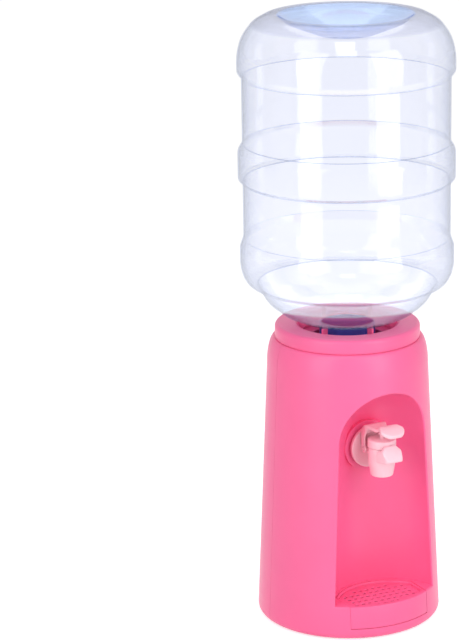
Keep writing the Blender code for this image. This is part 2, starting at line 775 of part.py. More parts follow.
def make_bonnet():
    y = TAP_AXIS_Y
    bore = STEM_RADIUS + GAP
    skirt = TAP_CHAMBER_RADIUS - GAP
    skirt_inner = skirt - BONNET_SKIRT_WALL
    skirt_z = BONNET_Z - BONNET_SKIRT_DEPTH
    groove_half = O_RING_WIRE + GAP
    groove = O_RING_RADIUS + O_RING_WIRE + GAP
    profile = [
        (BONNET_RADIUS - 0.001, BONNET_TOP_Z),
        (BONNET_RADIUS, BONNET_TOP_Z - 0.001),
        (BONNET_RADIUS, BONNET_Z),
        (skirt, BONNET_Z),
        (skirt, skirt_z),
        (skirt_inner, skirt_z),
        (skirt_inner, BONNET_Z + 0.0005),
        (bore, BONNET_Z + 0.0005),
        (bore, O_RING_Z - groove_half),
        (groove, O_RING_Z - groove_half),
        (groove, O_RING_Z + groove_half),
        (bore, O_RING_Z + groove_half),
        (bore, BONNET_TOP_Z),
    ]
    return finish(turned("bonnet", profile, MIDDLE_SIDES, at=(0, y)), "tap_bonnet", "tap_pink")


def make_stem():
    """The push stem: its button, and the collar that the spring lifts."""
    collar_z = BONNET_Z - BONNET_SKIRT_DEPTH
    end = valve_top() + VALVE_SEAL / 2
    profile = [
        (0, STEM_TOP_Z),
        (BUTTON_RADIUS * 0.6, STEM_TOP_Z),
        (BUTTON_RADIUS, BUTTON_Z + BUTTON_HEIGHT / 2),
        (BUTTON_RADIUS, BUTTON_Z),
        (STEM_RADIUS, BUTTON_Z),
        (STEM_RADIUS, collar_z + COLLAR_STEM_HEIGHT),
        (COLLAR_STEM_RADIUS, collar_z + COLLAR_STEM_HEIGHT),
        (COLLAR_STEM_RADIUS, collar_z),
        (STEM_RADIUS, collar_z),
        (STEM_RADIUS, end),
        (0, end),
    ]
    stem = solid_turned("stem", profile, SMALL_SIDES, at=(0, TAP_AXIS_Y))
    return finish(stem, "tap_stem", "tap_pink", (0, TAP_AXIS_Y, BUTTON_Z))


def valve_top():
    """The underside of the valve seat in the tap."""
    return SPOUT_TOP_Z - VALVE_SEAT_THICKNESS


def make_valve():
    """The rubber seal under the seat and the disc that carries it, both on the stem's end."""
    y = TAP_AXIS_Y
    hub = STEM_RADIUS + GAP
    seal_top = valve_top() - GAP
    seal_low = seal_top - VALVE_SEAL
    disc_top = seal_low - GAP
    seal = ring("seal", hub, VALVE_RADIUS, seal_low, seal_top, SMALL_SIDES, at=(0, y))
    finish(seal, "valve_seal", "rubber_grey", (0, y, seal_top))
    disc = rod("disc", VALVE_RADIUS, (0, y, disc_top - VALVE_DISC), (0, y, disc_top), SMALL_SIDES)
    finish(disc, "valve_disc", "inner_white", (0, y, disc_top))


def make_spring():
    """The return spring, a coil between the valve seat and the stem's collar."""
    low = SPOUT_TOP_Z + GAP + SPRING_WIRE
    high = BONNET_Z - BONNET_SKIRT_DEPTH - GAP - SPRING_WIRE
    steps = SPRING_TURNS * SMALL_SIDES
    curve = bpy.data.curves.new("spring", "CURVE")
    curve.dimensions = "3D"
    curve.bevel_depth = SPRING_WIRE
    curve.bevel_resolution = 2
    curve.use_fill_caps = True
    spline = curve.splines.new("POLY")
    spline.points.add(steps)
    for i, point in enumerate(spline.points):
        turn = 2 * math.pi * SPRING_TURNS * i / steps
        x, y = SPRING_RADIUS * math.cos(turn), SPRING_RADIUS * math.sin(turn)
        point.co = (x, TAP_AXIS_Y + y, low + (high - low) * i / steps, 1)
    return finish(add_object("spring", curve), "stem_spring", "steel")


def make_o_ring():
    profile = arc((O_RING_RADIUS, O_RING_Z), O_RING_WIRE, 0, -315, 7)
    return finish(turned("o_ring", profile, SMALL_SIDES, at=(0, TAP_AXIS_Y)), "stem_o_ring", "rubber_grey")


def make_tap_fixings():
    """Washers and nut that clamp the tap through the niche wall and the reservoir's outlet."""
    outer = TAP_PAD_Y - GAP
    washer = tube_along_y("washer", BORE_RADIUS, WASHER_RADIUS, outer - WASHER_THICKNESS, outer, TAP_Z, MIDDLE_SIDES)
    finish(washer, "outer_washer", "rubber_grey")
    inner = TAP_PAD_Y + WALL + GAP + RESERVOIR_WALL + GAP
    inner_end = inner + WASHER_THICKNESS
    washer = tube_along_y("washer", BORE_RADIUS, INNER_WASHER_RADIUS, inner, inner_end, TAP_Z, MIDDLE_SIDES)
    finish(washer, "inner_washer", "rubber_grey")
    nut_y = inner_end + GAP
    nut = rod("nut", NUT_RADIUS, (0, nut_y, TAP_Z), (0, nut_y + NUT_THICKNESS, TAP_Z), 6)
    bore = rod("nut_bore", BORE_RADIUS, (0, nut_y - WALL, TAP_Z), (0, nut_y + 2 * NUT_THICKNESS, TAP_Z))
    finish(cut(nut, bore), "tap_nut", "inner_white")


def make_lever():
    """The push lever: an S-shaped plate with two arms that turn on the tap's trunnions."""
    half = LEVER_THICKNESS / 2
    over_button = STEM_TOP_Z + GAP + half
    back = PIVOT_Y + 0.0028
    centre = [
        (back, PIVOT_Z + 0.0110),
        (back - 0.0006, PIVOT_Z + 0.0180),
        (back - 0.0050, over_button + 0.0012),
        (TAP_AXIS_Y + 0.0060, over_button + 0.0006),
        (TAP_AXIS_Y, over_button),
        (TAP_AXIS_Y - 0.0080, over_button + 0.0015),
        (TAP_AXIS_Y - 0.0150, over_button + 0.0045),
        (TAP_AXIS_Y - 0.0210, over_button + 0.0062),
        (LEVER_TIP_Y, over_button + 0.0058),
    ]
    side = thick_line([(PIVOT_Y + 0.0008, PIVOT_Z), *centre], half)
    reach = LEVER_FORK + LEVER_ARM_WIDTH
    plate = slab("lever", [side], -reach, reach, SIDE_VIEW)
    plate = keep_inside(plate, slab("lever_plan", [lever_plan(reach)], SPOUT_Z, 2 * TAP_Z))
    eye_radius = TRUNNION_RADIUS + GAP + 0.0016
    eyes = rod("eyes", eye_radius, (-reach, PIVOT_Y, PIVOT_Z), (reach, PIVOT_Y, PIVOT_Z), SMALL_SIDES)
    plate = join(plate, eyes)
    fork = block(
        "fork",
        (-LEVER_FORK, 2 * TAP_AXIS_Y, SPOUT_Z),
        (LEVER_FORK, 0, PIVOT_Z + 0.0165),
    )
    pin = rod("eye_hole", TRUNNION_RADIUS + GAP, (-2 * reach, PIVOT_Y, PIVOT_Z), (2 * reach, PIVOT_Y, PIVOT_Z), TINY_SIDES)
    return finish(cut(plate, fork, pin), "tap_lever", "tap_pink", (0, PIVOT_Y, PIVOT_Z))


def lever_plan(reach):
    """The lever from above: wide at the arms, a narrow neck, then an oval paddle."""
    neck_y = TAP_AXIS_Y - 0.0010
    paddle_y = LEVER_TIP_Y + 0.0095
    half = [
        (reach, PIVOT_Y + 0.0100),
        (reach, PIVOT_Y - 0.0040),
        (LEVER_NECK_HALF_WIDTH + 0.0012, neck_y + 0.0050),
        (LEVER_NECK_HALF_WIDTH, neck_y - 0.0030),
        (LEVER_HALF_WIDTH - 0.0022, paddle_y + 0.0060),
        *[
            (LEVER_HALF_WIDTH * x, paddle_y + 0.0095 * y)
            for x, y in arc((0, 0), 1.0, 0, -75, 4)
        ],
    ]
    return half + [(-x, y) for x, y in reversed(half)]


def thick_line(points, half):
    """The outline of a line of the given half thickness."""
    sides = ([], [])
    for i, point in enumerate(points):
        before = Vector(points[max(i - 1, 0)])
        after = Vector(points[min(i + 1, len(points) - 1)])
        along = (after - before).normalized()
        normal = Vector((-along.y, along.x)) * half
        sides[0].append(tuple(Vector(point) + normal))
        sides[1].append(tuple(Vector(point) - normal))
    return sides[0] + sides[1][::-1]


# ---------------------------------------------------------------- drip tray


def tray_top():
    return NICHE_FLOOR_Z - TRAY_RIM_DROP


def grille_top():
    return tray_top() - GRILLE_DROP


def inner_front():
    """The radius of the inner face of the tray's front wall."""
    return body_radius(NICHE_FLOOR_Z) - TRAY_FRONT_WALL


def make_tray():
    low, top = TRAY_FLOOR_Z, tray_top()
    beyond = BODY_RADIUS * 1.2
    tray = slab("tray", [tray_outline(0, beyond)], low, top)
    tray = keep_inside(tray, body_core("tray_limit", GAP / 2))
    grille_low = grille_top() - GRILLE_THICKNESS - GAP
    wide = slab("tray_top_space", [tray_outline(TRAY_WALL, inner_front())], grille_low, top + WALL)
    inset = TRAY_WALL + TRAY_LEDGE
    deep_front = inner_front() - TRAY_LEDGE
    deep = slab("tray_space", [tray_outline(inset, deep_front)], low + TRAY_WALL, top)
    return finish(cut(tray, wide, deep), "drip_tray", "body_pink", (0, -body_radius(low), low))


def grille_holes():
    """Rows of small oblong holes, kept off the grille's edge."""
    inset = TRAY_WALL + GAP
    back = NICHE_FLOOR_RADIUS - TRAY_REAR_MARGIN - inset - GRILLE_MARGIN
    front = inner_front() - GAP - GRILLE_MARGIN
    side = TRAY_HALF_WIDTH - inset - GRILLE_MARGIN
    first_y = -front
    holes = []
    for row in range(int((front + NICHE_AXIS_Y + back) / HOLE_PITCH_Y) + 1):
        y = first_y + HOLE_Y + row * HOLE_PITCH_Y
        for column in range(-12, 12):
            x = (column + 0.5) * HOLE_PITCH_X
            far_x, back_y, front_y = abs(x) + HOLE_X / 2, y + HOLE_Y / 2, y - HOLE_Y / 2
            inside = far_x < side and math.hypot(far_x, front_y) < front
            if inside and math.hypot(far_x, back_y - NICHE_AXIS_Y) < back:
                holes.append(hole_outline(x, y))
    return holes


def hole_outline(x, y):
    half_x, half_y = HOLE_X / 2, HOLE_Y / 2
    return [(x + a * half_x, y + b * half_y) for a, b in ((-1, -1), (1, -1), (1, 1), (-1, 1))]


def make_grille():
    outline = tray_outline(TRAY_WALL + GAP, inner_front() - GAP)
    top = grille_top()
    grille = slab("grille", [outline, *grille_holes()], top - GRILLE_THICKNESS, top)
    return finish(grille, "drip_grille", "body_pink", (0, NICHE_AXIS_Y, top))


# ---------------------------------------------------------------- bottle


def bottle_profile():
    """The bottle's outer line from the neck's root to the middle of its push-up."""
    wide, waist = BOTTLE_RADIUS, BOTTLE_WAIST
    top = BOTTLE_HEIGHT
    belly = 0.0390  # height of the sharp edge over the shoulder
    shoulder_line = [(0.0480, 0.0030), (0.0635, 0.0098), (0.0790, 0.0215)]
    lower_rib = [
        (wide - 0.0178, belly - 0.0008),
        (wide - 0.0084, belly + 0.0016),
        (wide - 0.0036, belly + 0.0095),
        (wide - 0.0010, belly + 0.0190),
        (wide - 0.0010, belly + 0.0380),
        (waist, belly + 0.0480),
    ]
    middle = 0.1425
    middle_rib = [
        (waist, middle),
        (wide, middle + 0.0030),
        (wide, middle + 0.0310),
        (waist, middle + 0.0380),
    ]
    upper_rib = [(waist, top - 0.0610), (wide - 0.0002, top - 0.0550), (wide - 0.0002, top - 0.0400)]
    crown = [
        (wide - 0.0040, top - 0.0230),
        (wide - 0.0152, top - 0.0080),
        (wide - 0.0300, top),
        (0.0665, top),
    ]
    push_up = [(0.0560, top - 0.0080), (0.0280, top - 0.0190), (0, top - 0.0210)]
    return shoulder_line + lower_rib + middle_rib + upper_rib + crown + push_up


def moved_in(points, distance):
    """The line moved to its left side by distance. The last point stays on the axis."""
    moved = []
    for i, point in enumerate(points):
        before = Vector(points[max(i - 1, 0)])
        after = Vector(points[min(i + 1, len(points) - 1)])
        along = (after - before).normalized()
        moved.append((point[0] - along.y * distance, point[1] + along.x * distance))
    last = points[-1]
    moved[-1] = (0, last[1] - distance)
    return moved


def make_bottle():
    outer = [(NECK_RADIUS, -NECK_LENGTH), (NECK_RADIUS, 0), *bottle_profile()]
    inner = moved_in(outer[1:], BOTTLE_WALL)
    neck_bore = NECK_RADIUS - 2 * BOTTLE_WALL
    inner[0] = (neck_bore, BOTTLE_WALL)
    inner.insert(0, (neck_bore, -NECK_LENGTH))
    line = outer + inner[::-1]
    profile = [(radius, NECK_ROOT_Z + z) for radius, z in line]
    profile.append(profile[0])
    middle = len(outer)
    # The line goes out along the outer side, in on the inner side, and closes at the mouth.
    ordered = profile[middle:] + profile[1:middle]
    bottle = solid_turned("bottle_shape", ordered, BOTTLE_SIDES)
    return finish(bottle, "bottle", "bottle_clear", (0, 0, NECK_ROOT_Z))


def make_cap():
    inner = NECK_RADIUS + GAP
    top, floor = CAP_Z + CAP_HEIGHT, CAP_Z + CAP_FLOOR
    tube_outer = CAP_TUBE_RADIUS + CAP_TUBE_WALL
    tube_top = CAP_Z + CAP_TUBE_HEIGHT
    profile = [
        (CAP_RADIUS - 0.0005, top),
        (CAP_RADIUS, CAP_Z + 0.0015),
        (CAP_RADIUS - 0.0015, CAP_Z),
        (CAP_TUBE_RADIUS, CAP_Z),
        (CAP_TUBE_RADIUS, tube_top),
        (tube_outer, tube_top),
        (tube_outer, floor),
        (inner, floor),
        (inner, top),
    ]
    return finish(turned("cap", profile, TANK_SIDES), "bottle_cap", "cap_blue", (0, 0, CAP_Z))


def make_cap_liner():
    low = CAP_Z + CAP_FLOOR + GAP
    liner = ring("liner", LINER_INNER_RADIUS, NECK_RADIUS, low, low + LINER_THICKNESS, MIDDLE_SIDES)
    return finish(liner, "cap_liner", "inner_white", (0, 0, low))


def make_plug():
    """The plug in the cap's tube, held up by the feed probe."""
    low = PROBE_TOP_Z + GAP
    head = low + PLUG_LENGTH
    radius = CAP_TUBE_RADIUS - GAP
    profile = [
        (0, low),
        (radius, low),
        (radius, head),
        (PLUG_HEAD_RADIUS, head),
        (PLUG_HEAD_RADIUS, head + PLUG_HEAD),
        (0, head + PLUG_HEAD),
    ]
    return finish(solid_turned("plug", profile, SMALL_SIDES), "valve_plug", "inner_white", (0, 0, low))


# ---------------------------------------------------------------- assembly

GROUPS = {
    "housing_assembly": ("front_shell", "rear_shell", "top_cover", "base_plate", "foot_", "base_screw_"),
    "tank_assembly": ("reservoir", "bottle_seat", "seat_gasket", "feed_probe"),
    "tap_assembly": (
        "tap_body",
        "tap_bonnet",
        "stem_spring",
        "stem_o_ring",
        "outer_washer",
        "inner_washer",
        "tap_nut",
    ),
    "lever_pivot": ("tap_lever",),
    "stem_slide": ("tap_stem", "valve_seal", "valve_disc"),
    "tray_slide": ("drip_tray", "drip_grille"),
    "bottle_lift": ("bottle", "bottle_cap", "cap_liner", "valve_plug"),
}
GROUP_PLACES = {
    "tap_assembly": (0, TAP_PAD_Y, TAP_Z),
    "lever_pivot": (0, PIVOT_Y, PIVOT_Z),
    "stem_slide": (0, TAP_AXIS_Y, BUTTON_Z),
    "tray_slide": (0, 0, TRAY_FLOOR_Z),
    "bottle_lift": (0, 0, NECK_ROOT_Z),
}


def group_parts():
    """Parents each part to its sub-assembly's empty, without moving it."""
    for group, names in GROUPS.items():
        empty = bpy.data.objects.new(group, None)
        empty.location = GROUP_PLACES.get(group, (0, 0, 0))
        empty.empty_display_size = 0.01
        PARTS.objects.link(empty)
        bpy.context.view_layer.update()
        for part in [obj for obj in PARTS.objects if obj.type == "MESH"]:
            if part.parent is None and part.name.startswith(names):
                part.parent = empty
                part.matrix_parent_inverse = empty.matrix_world.inverted()


def main():
    make_front_shell()
    make_rear_shell()
    make_top_cover()
    make_base_plate()
    make_feet()
    make_base_screws()
    make_reservoir()
    make_bottle_seat()
    make_seat_gasket()
    make_probe()
    make_tap_body()
    make_bonnet()
    make_stem()
    make_valve()
    make_spring()
    make_o_ring()
    make_tap_fixings()
    make_lever()
    make_tray()
    make_grille()
    make_bottle()
    make_cap()
    make_cap_liner()
    make_plug()
    group_parts()


main()
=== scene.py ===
"""Looks of a countertop water dispenser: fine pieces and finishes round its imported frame."""

import json
import logging
import math
from collections.abc import Iterator, Sequence
from contextlib import contextmanager
from dataclasses import dataclass
from enum import Enum

import bmesh
import bpy
import numpy as np
from mathutils import Matrix, Vector

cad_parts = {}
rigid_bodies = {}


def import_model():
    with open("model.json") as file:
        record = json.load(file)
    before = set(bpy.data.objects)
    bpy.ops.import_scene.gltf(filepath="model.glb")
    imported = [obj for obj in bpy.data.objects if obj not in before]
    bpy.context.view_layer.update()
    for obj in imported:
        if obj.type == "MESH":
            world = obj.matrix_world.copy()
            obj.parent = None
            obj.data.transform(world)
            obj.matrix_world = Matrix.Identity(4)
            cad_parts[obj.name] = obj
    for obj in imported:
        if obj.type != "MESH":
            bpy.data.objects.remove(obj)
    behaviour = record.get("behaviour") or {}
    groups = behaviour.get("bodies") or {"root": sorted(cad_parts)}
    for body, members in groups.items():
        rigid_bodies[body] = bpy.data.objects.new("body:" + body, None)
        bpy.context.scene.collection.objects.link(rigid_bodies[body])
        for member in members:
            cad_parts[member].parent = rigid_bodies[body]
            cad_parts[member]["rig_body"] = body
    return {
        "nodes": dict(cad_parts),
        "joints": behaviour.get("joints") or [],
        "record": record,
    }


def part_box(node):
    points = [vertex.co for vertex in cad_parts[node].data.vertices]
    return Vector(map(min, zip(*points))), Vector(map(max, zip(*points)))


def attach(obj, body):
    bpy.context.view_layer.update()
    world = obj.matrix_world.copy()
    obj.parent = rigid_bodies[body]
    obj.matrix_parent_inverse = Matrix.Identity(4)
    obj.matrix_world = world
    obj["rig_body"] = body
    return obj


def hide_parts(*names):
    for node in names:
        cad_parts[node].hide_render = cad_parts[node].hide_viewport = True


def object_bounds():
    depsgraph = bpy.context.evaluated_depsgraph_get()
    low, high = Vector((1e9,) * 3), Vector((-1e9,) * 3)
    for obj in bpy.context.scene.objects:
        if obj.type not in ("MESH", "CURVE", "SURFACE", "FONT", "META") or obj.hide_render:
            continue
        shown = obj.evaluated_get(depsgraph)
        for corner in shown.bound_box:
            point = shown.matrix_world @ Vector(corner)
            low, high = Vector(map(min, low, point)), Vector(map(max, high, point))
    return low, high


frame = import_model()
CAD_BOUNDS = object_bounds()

LOG = logging.getLogger("dispenser")
GAP = 0.0003
TINY = 1e-7
LEAST_TURN = 0.01  # radians: flatter corners stay as they are
MOST_OF_SIDE = 0.48  # the most of a side that one rounded corner takes up
FAR = 0.12  # cutters that reach past the tap end this far from the origin
WHITE = (1.0, 1.0, 1.0)

Point = tuple[float, ...]
Line = list[tuple[float, float]]
Colour = tuple[float, float, float]
Piece = bpy.types.Object


# ---------------------------------------------------------------- shader graph


class Wire:
    """One socket of a material, so that maths on it reads as plain maths."""

    def __init__(self, graph: "Graph", socket: bpy.types.NodeSocket) -> None:
        """Keeps the socket and the graph it belongs to."""
        self.graph, self.socket = graph, socket

    def math(self, operation: str, first: "Value", second: "Value") -> "Wire":
        """A Math node on two values.

        Args:
            operation: the Math node's operation.
            first: its first value.
            second: its second value.

        Returns:
            The node's result.
        """
        return self.graph.node("ShaderNodeMath", {"operation": operation}, {0: first, 1: second})

    def __add__(self, other: "Value") -> "Wire":
        """This value plus another."""
        return self.math("ADD", self, other)

    def __radd__(self, other: float) -> "Wire":
        """A number plus this value."""
        return self.math("ADD", other, self)

    def __sub__(self, other: "Value") -> "Wire":
        """This value minus another."""
        return self.math("SUBTRACT", self, other)

    def __rsub__(self, other: float) -> "Wire":
        """A number minus this value."""
        return self.math("SUBTRACT", other, self)

    def __mul__(self, other: "Value") -> "Wire":
        """This value times another."""
        return self.math("MULTIPLY", self, other)

    def __pow__(self, other: "Value") -> "Wire":
        """This value raised to a power."""
        return self.math("POWER", self, other)

    def at_most(self, other: "Value") -> "Wire":
        """The smaller of this value and another."""
        return self.math("MINIMUM", self, other)


Value = Wire | float


class Graph:
    """The node graph of one material or of the world."""

    def __init__(self, owner: bpy.types.Material | bpy.types.World) -> None:
        """Empties the owner's node tree and takes it over."""
        owner.use_nodes = True
        self.tree = owner.node_tree
        self.tree.nodes.clear()

    def node(
        self, kind: str, settings: dict | None = None, sockets: dict | None = None, output: int | str = 0
    ) -> Wire:
        """Adds one node.

        Args:
            kind: the node's type.
            settings: its settings, set before anything is joined to it.
            sockets: values or wires for its inputs, by name or number.
            output: the output that is wanted.

        Returns:
            That output as a wire.
        """
        made = self.tree.nodes.new(kind)
        for name, setting in (settings or {}).items():
            setattr(made, name, setting)
        for name, value in (sockets or {}).items():
            if isinstance(value, Wire):
                self.tree.links.new(value.socket, made.inputs[name])
            else:
                made.inputs[name].default_value = value
        return Wire(self, made.outputs[output])

    def place(self) -> Wire:
        """Where a point lies on its piece, in metres."""
        return self.node("ShaderNodeTexCoord", output="Object")

    def noise(self, size: float, detail: float = 2.0, stretch: Colour | None = None) -> Wire:
        """Cloudy variation from 0 to 1.

        Args:
            size: how large the clouds are, in metres.
            detail: how much finer detail they carry.
            stretch: the place's share along each axis, for streaks.

        Returns:
            The clouds' value.
        """
        place = self.place()
        if stretch:
            place = self.node("ShaderNodeVectorMath", {"operation": "MULTIPLY"}, {0: place, 1: stretch})
        return self.node("ShaderNodeTexNoise", {}, {"Vector": place, "Scale": 1 / size, "Detail": detail})

    def bump(self, height: Wire, depth: float, under: Wire | None = None) -> Wire:
        """A surface raised by height times depth, in metres, over another such surface if one is given."""
        sockets = {"Strength": 1.0, "Distance": depth, "Height": height}
        if under:
            sockets["Normal"] = under
        return self.node("ShaderNodeBump", {}, sockets)

    def plain(self, kind: str, colour: Colour, strength: float | None = None) -> Wire:
        """A shader that needs only a colour, and a strength if it shines."""
        strengths = {} if strength is None else {"Strength": strength}
        return self.node(kind, {}, {"Color": (*colour, 1.0), **strengths})

    def ramp(self, value: Wire, low: float, high: float) -> Wire:
        """A value spread from 0 at low to 1 at high, and held there."""
        return self.node("ShaderNodeMapRange", {}, {"Value": value, "From Min": low, "From Max": high})

    def mixed(self, share: Value, first: Colour, second: Colour) -> Wire:
        """A blend of two colours."""
        sockets = {"Factor": share, "A": (*first, 1.0), "B": (*second, 1.0)}
        return self.node("ShaderNodeMix", {"data_type": "RGBA"}, sockets, "Result")

    def mix_shader(self, share: Value, first: Wire, second: Wire) -> Wire:
        """A blend of two shaders."""
        return self.node("ShaderNodeMixShader", {}, {0: share, 1: first, 2: second})

    def close(self, shader: Wire, output: str = "ShaderNodeOutputMaterial") -> None:
        """Joins the last shader to the output."""
        made = self.tree.nodes.new(output)
        self.tree.links.new(shader.socket, made.inputs["Surface"])


def linear(red: int, green: int, blue: int) -> Colour:
    """A colour written as it is seen, from 0 to 255, as the renderer wants it."""
    shares = (channel / 255 for channel in (red, green, blue))
    return tuple(s / 12.92 if s <= 0.04045 else ((s + 0.055) / 1.055) ** 2.4 for s in shares)


def scaled(colour: Colour, factor: float) -> Colour:
    """A colour made lighter or darker, kept in range."""
    return tuple(min(1.0, channel * factor) for channel in colour)


# ---------------------------------------------------------------- finishes


@dataclass(frozen=True)
class Look:
    """The recipe of one material."""

    name: str

    def surface(self, graph: Graph) -> Wire:
        """The shader that the recipe leads to."""
        raise NotImplementedError

    def make(self) -> bpy.types.Material:
        """Builds the material."""
        material = bpy.data.materials.new(self.name)
        graph = Graph(material)
        graph.close(self.surface(graph))
        return material


@dataclass(frozen=True)
class Plastic(Look):
    """Injection-moulded plastic: fine moulded grain, slow colour drift, handling shine."""

    colour: Colour
    roughness: float = 0.40
    spread: float = 0.10  # how far the roughness drifts
    drift: float = 0.06  # how far the colour drifts
    cloud: float = 0.045
    grain: float = 0.00045
    depth: float = 0.000012  # of the grain
    ripple: float = 0.018  # slow waves of the moulded skin
    ripple_depth: float = 0.00003
    scuff_height: float = 0.0  # scuffs reach this far up from the counter
    shine: float = 1.46  # how strongly it mirrors, as a refractive index

    def surface(self, graph: Graph) -> Wire:
        """The finish's shader."""
        cloud = graph.noise(self.cloud, 3.0)
        streak = graph.noise(self.cloud / 3, 4.0, (1.0, 1.0, 0.18))
        grain = graph.noise(self.grain, 3.0)
        ripple = graph.noise(self.ripple, 1.0)
        colour = graph.mixed(cloud, scaled(self.colour, 1 - self.drift), scaled(self.colour, 1 + self.drift))
        rough = self.roughness + (streak - 0.5) * self.spread + (grain - 0.5) * 0.08
        if self.scuff_height:
            height = graph.node("ShaderNodeSeparateXYZ", {}, {0: graph.place()}, "Z")
            near = 1 - graph.ramp(height, 0.0, self.scuff_height)
            marks = graph.ramp(graph.noise(0.004, 5.0, (1.0, 1.0, 0.3)), 0.58, 0.70)
            rough = rough + near * marks * 0.16
        fine = graph.bump(grain, self.depth)
        normal = graph.bump(ripple, self.ripple_depth, fine)
        sockets = {"Base Color": colour, "Roughness": rough, "Normal": normal, "IOR": self.shine}
        return graph.node("ShaderNodeBsdfPrincipled", {}, sockets)


@dataclass(frozen=True)
class ClearPlastic(Look):
    """Thin blown bottle wall: faintly tinted, glossy, darker where it is seen edge on."""

    tint: Colour = (0.948, 0.955, 0.986)
    edge_tint: Colour = (0.42, 0.47, 0.60)
    edge_share: float = 0.80
    edge_power: float = 4.5
    roughness: float = 0.045
    most_shine: float = 0.30
    waviness: float = 0.00012  # of the blown wall

    def surface(self, graph: Graph) -> Wire:
        """The finish's shader."""
        cast = graph.noise(0.014, 2.0, (1.0, 1.0, 0.35))
        normal = graph.bump(cast, self.waviness)
        facing = graph.node("ShaderNodeLayerWeight", {}, {"Blend": 0.5, "Normal": normal}, "Facing")
        wall = graph.plain("ShaderNodeBsdfTransparent", self.tint)
        edge = graph.plain("ShaderNodeBsdfTransparent", self.edge_tint)
        clear = graph.mix_shader(facing**self.edge_power * self.edge_share, wall, edge)
        smear = graph.ramp(graph.noise(0.03, 4.0), 0.35, 0.75)
        rough = self.roughness + smear * 0.03
        sockets = {"Color": (*WHITE, 1.0), "Roughness": rough, "Normal": normal}
        shine = graph.node("ShaderNodeBsdfGlossy", {}, sockets)
        share = graph.node("ShaderNodeFresnel", {}, {"IOR": 1.38, "Normal": normal})
        return graph.mix_shader(share.at_most(self.most_shine), clear, shine)


@dataclass(frozen=True)
class Rubber(Look):
    """Soft moulded rubber: dull, finely pitted and a little dusty."""

    colour: Colour

    def surface(self, graph: Graph) -> Wire:
        """The finish's shader."""
        pits = graph.noise(0.0006, 4.0)
        dust = graph.ramp(graph.noise(0.006, 4.0), 0.45, 0.75)
        bump = graph.bump(pits, 0.00004)
        sockets = {
            "Base Color": graph.mixed(dust * 0.5, self.colour, scaled(self.colour, 1.8)),
            "Roughness": 0.72 + dust * 0.15,
            "Normal": bump,
        }
        return graph.node("ShaderNodeBsdfPrincipled", {}, sockets)


@dataclass(frozen=True)
class Steel(Look):
    """Bright drawn steel with fine lines and a little tarnish."""

    colour: Colour = (0.62, 0.62, 0.60)

    def surface(self, graph: Graph) -> Wire:
        """The finish's shader."""
        lines = graph.noise(0.0003, 3.0, (0.1, 1.0, 1.0))
        stain = graph.noise(0.003, 3.0)
        bump = graph.bump(lines, 0.000006)
        sockets = {
            "Base Color": graph.mixed(stain, self.colour, scaled(self.colour, 0.75)),
            "Metallic": 1.0,
            "Roughness": 0.22 + lines * 0.12 + stain * 0.1,
            "Normal": bump,
        }
        return graph.node("ShaderNodeBsdfPrincipled", {}, sockets)


class Finish(Enum):
    """The finishes of the dispenser, each made once."""

    HOUSING = Plastic("housing_pink", linear(252, 106, 157), roughness=0.34, shine=1.42, scuff_height=0.022)
    TAP = Plastic("tap_pale_pink", linear(255, 203, 215), roughness=0.34, cloud=0.012, grain=0.0003)
    INNER = Plastic("inner_pink", linear(226, 78, 132), roughness=0.48, cloud=0.02)
    CAP = Plastic("cap_indigo", linear(62, 72, 158), roughness=0.36, cloud=0.012)
    BOTTLE = ClearPlastic("bottle_clear")
    # Painted shade: the dark bands at the bottle's creases, where the bent wall refracts light.
    BOTTLE_CREASE_SHADE = ClearPlastic("bottle_crease_painted_shade", tint=(0.74, 0.77, 0.85), edge_tint=(0.60, 0.64, 0.76))
    BOTTLE_BASE = ClearPlastic("bottle_base", tint=(0.76, 0.845, 0.965), edge_tint=(0.32, 0.40, 0.72))
    # Painted shade: the crown's grey-lavender, which stands in for refraction in its thick curved wall.
    BOTTLE_TOP_SHADE = ClearPlastic("bottle_top_painted_shade", tint=(0.870, 0.880, 0.935), edge_tint=(0.30, 0.33, 0.47))
    RUBBER = Rubber("seal_rubber", linear(92, 92, 94))
    STEEL = Steel("spring_steel")

    def material(self) -> bpy.types.Material:
        """The finish's material, made the first time it is asked for."""
        return bpy.data.materials.get(self.value.name) or self.value.make()


SLOT_FINISHES = {
    "body_plastic": Finish.HOUSING,
    "tap_plastic": Finish.TAP,
    "inner_plastic": Finish.INNER,
    "bottle_plastic": Finish.BOTTLE,
    "cap_plastic": Finish.CAP,
    "seal_rubber": Finish.RUBBER,
    "spring_steel": Finish.STEEL,
}


# ---------------------------------------------------------------- shaping tools


class Joinery(Enum):
    """How one solid is worked with others."""

    JOIN = "UNION"
    CUT = "DIFFERENCE"
    KEEP_INSIDE = "INTERSECT"


@contextmanager
def editing(mesh: bpy.types.Mesh) -> Iterator[bmesh.types.BMesh]:
    """Opens a mesh for editing and writes it back."""
    shape = bmesh.new()
    shape.from_mesh(mesh)
    yield shape
    shape.to_mesh(mesh)
    shape.free()


def placed(name: str, data: bpy.types.ID) -> Piece:
    """Makes an object of its data, in the scene."""
    made = bpy.data.objects.new(name, data)
    bpy.context.scene.collection.objects.link(made)
    return made


def slot_of(node: str) -> str:
    """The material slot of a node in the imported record."""
    return next(part["material_slot"] for part in frame["record"]["subparts"] if part["node"] == node)


def stand_for(piece: Piece, *nodes: str) -> Piece:
    """Dresses a fine piece, gives it to its body and lets it stand for its plain solids.

    Args:
        piece: the finished piece, in place.
        nodes: the solids that it stands for, the first of which says its body and finish.

    Returns:
        The same piece.
    """
    body, slot = frame["nodes"][nodes[0]]["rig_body"], slot_of(nodes[0])
    piece.data.materials.clear()
    piece.data.materials.append(SLOT_FINISHES[slot].material())
    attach(piece, body)
    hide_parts(*nodes)
    LOG.info("%s rides on %s in %s, %d faces", piece.name, body, slot, len(piece.data.polygons))
    return piece


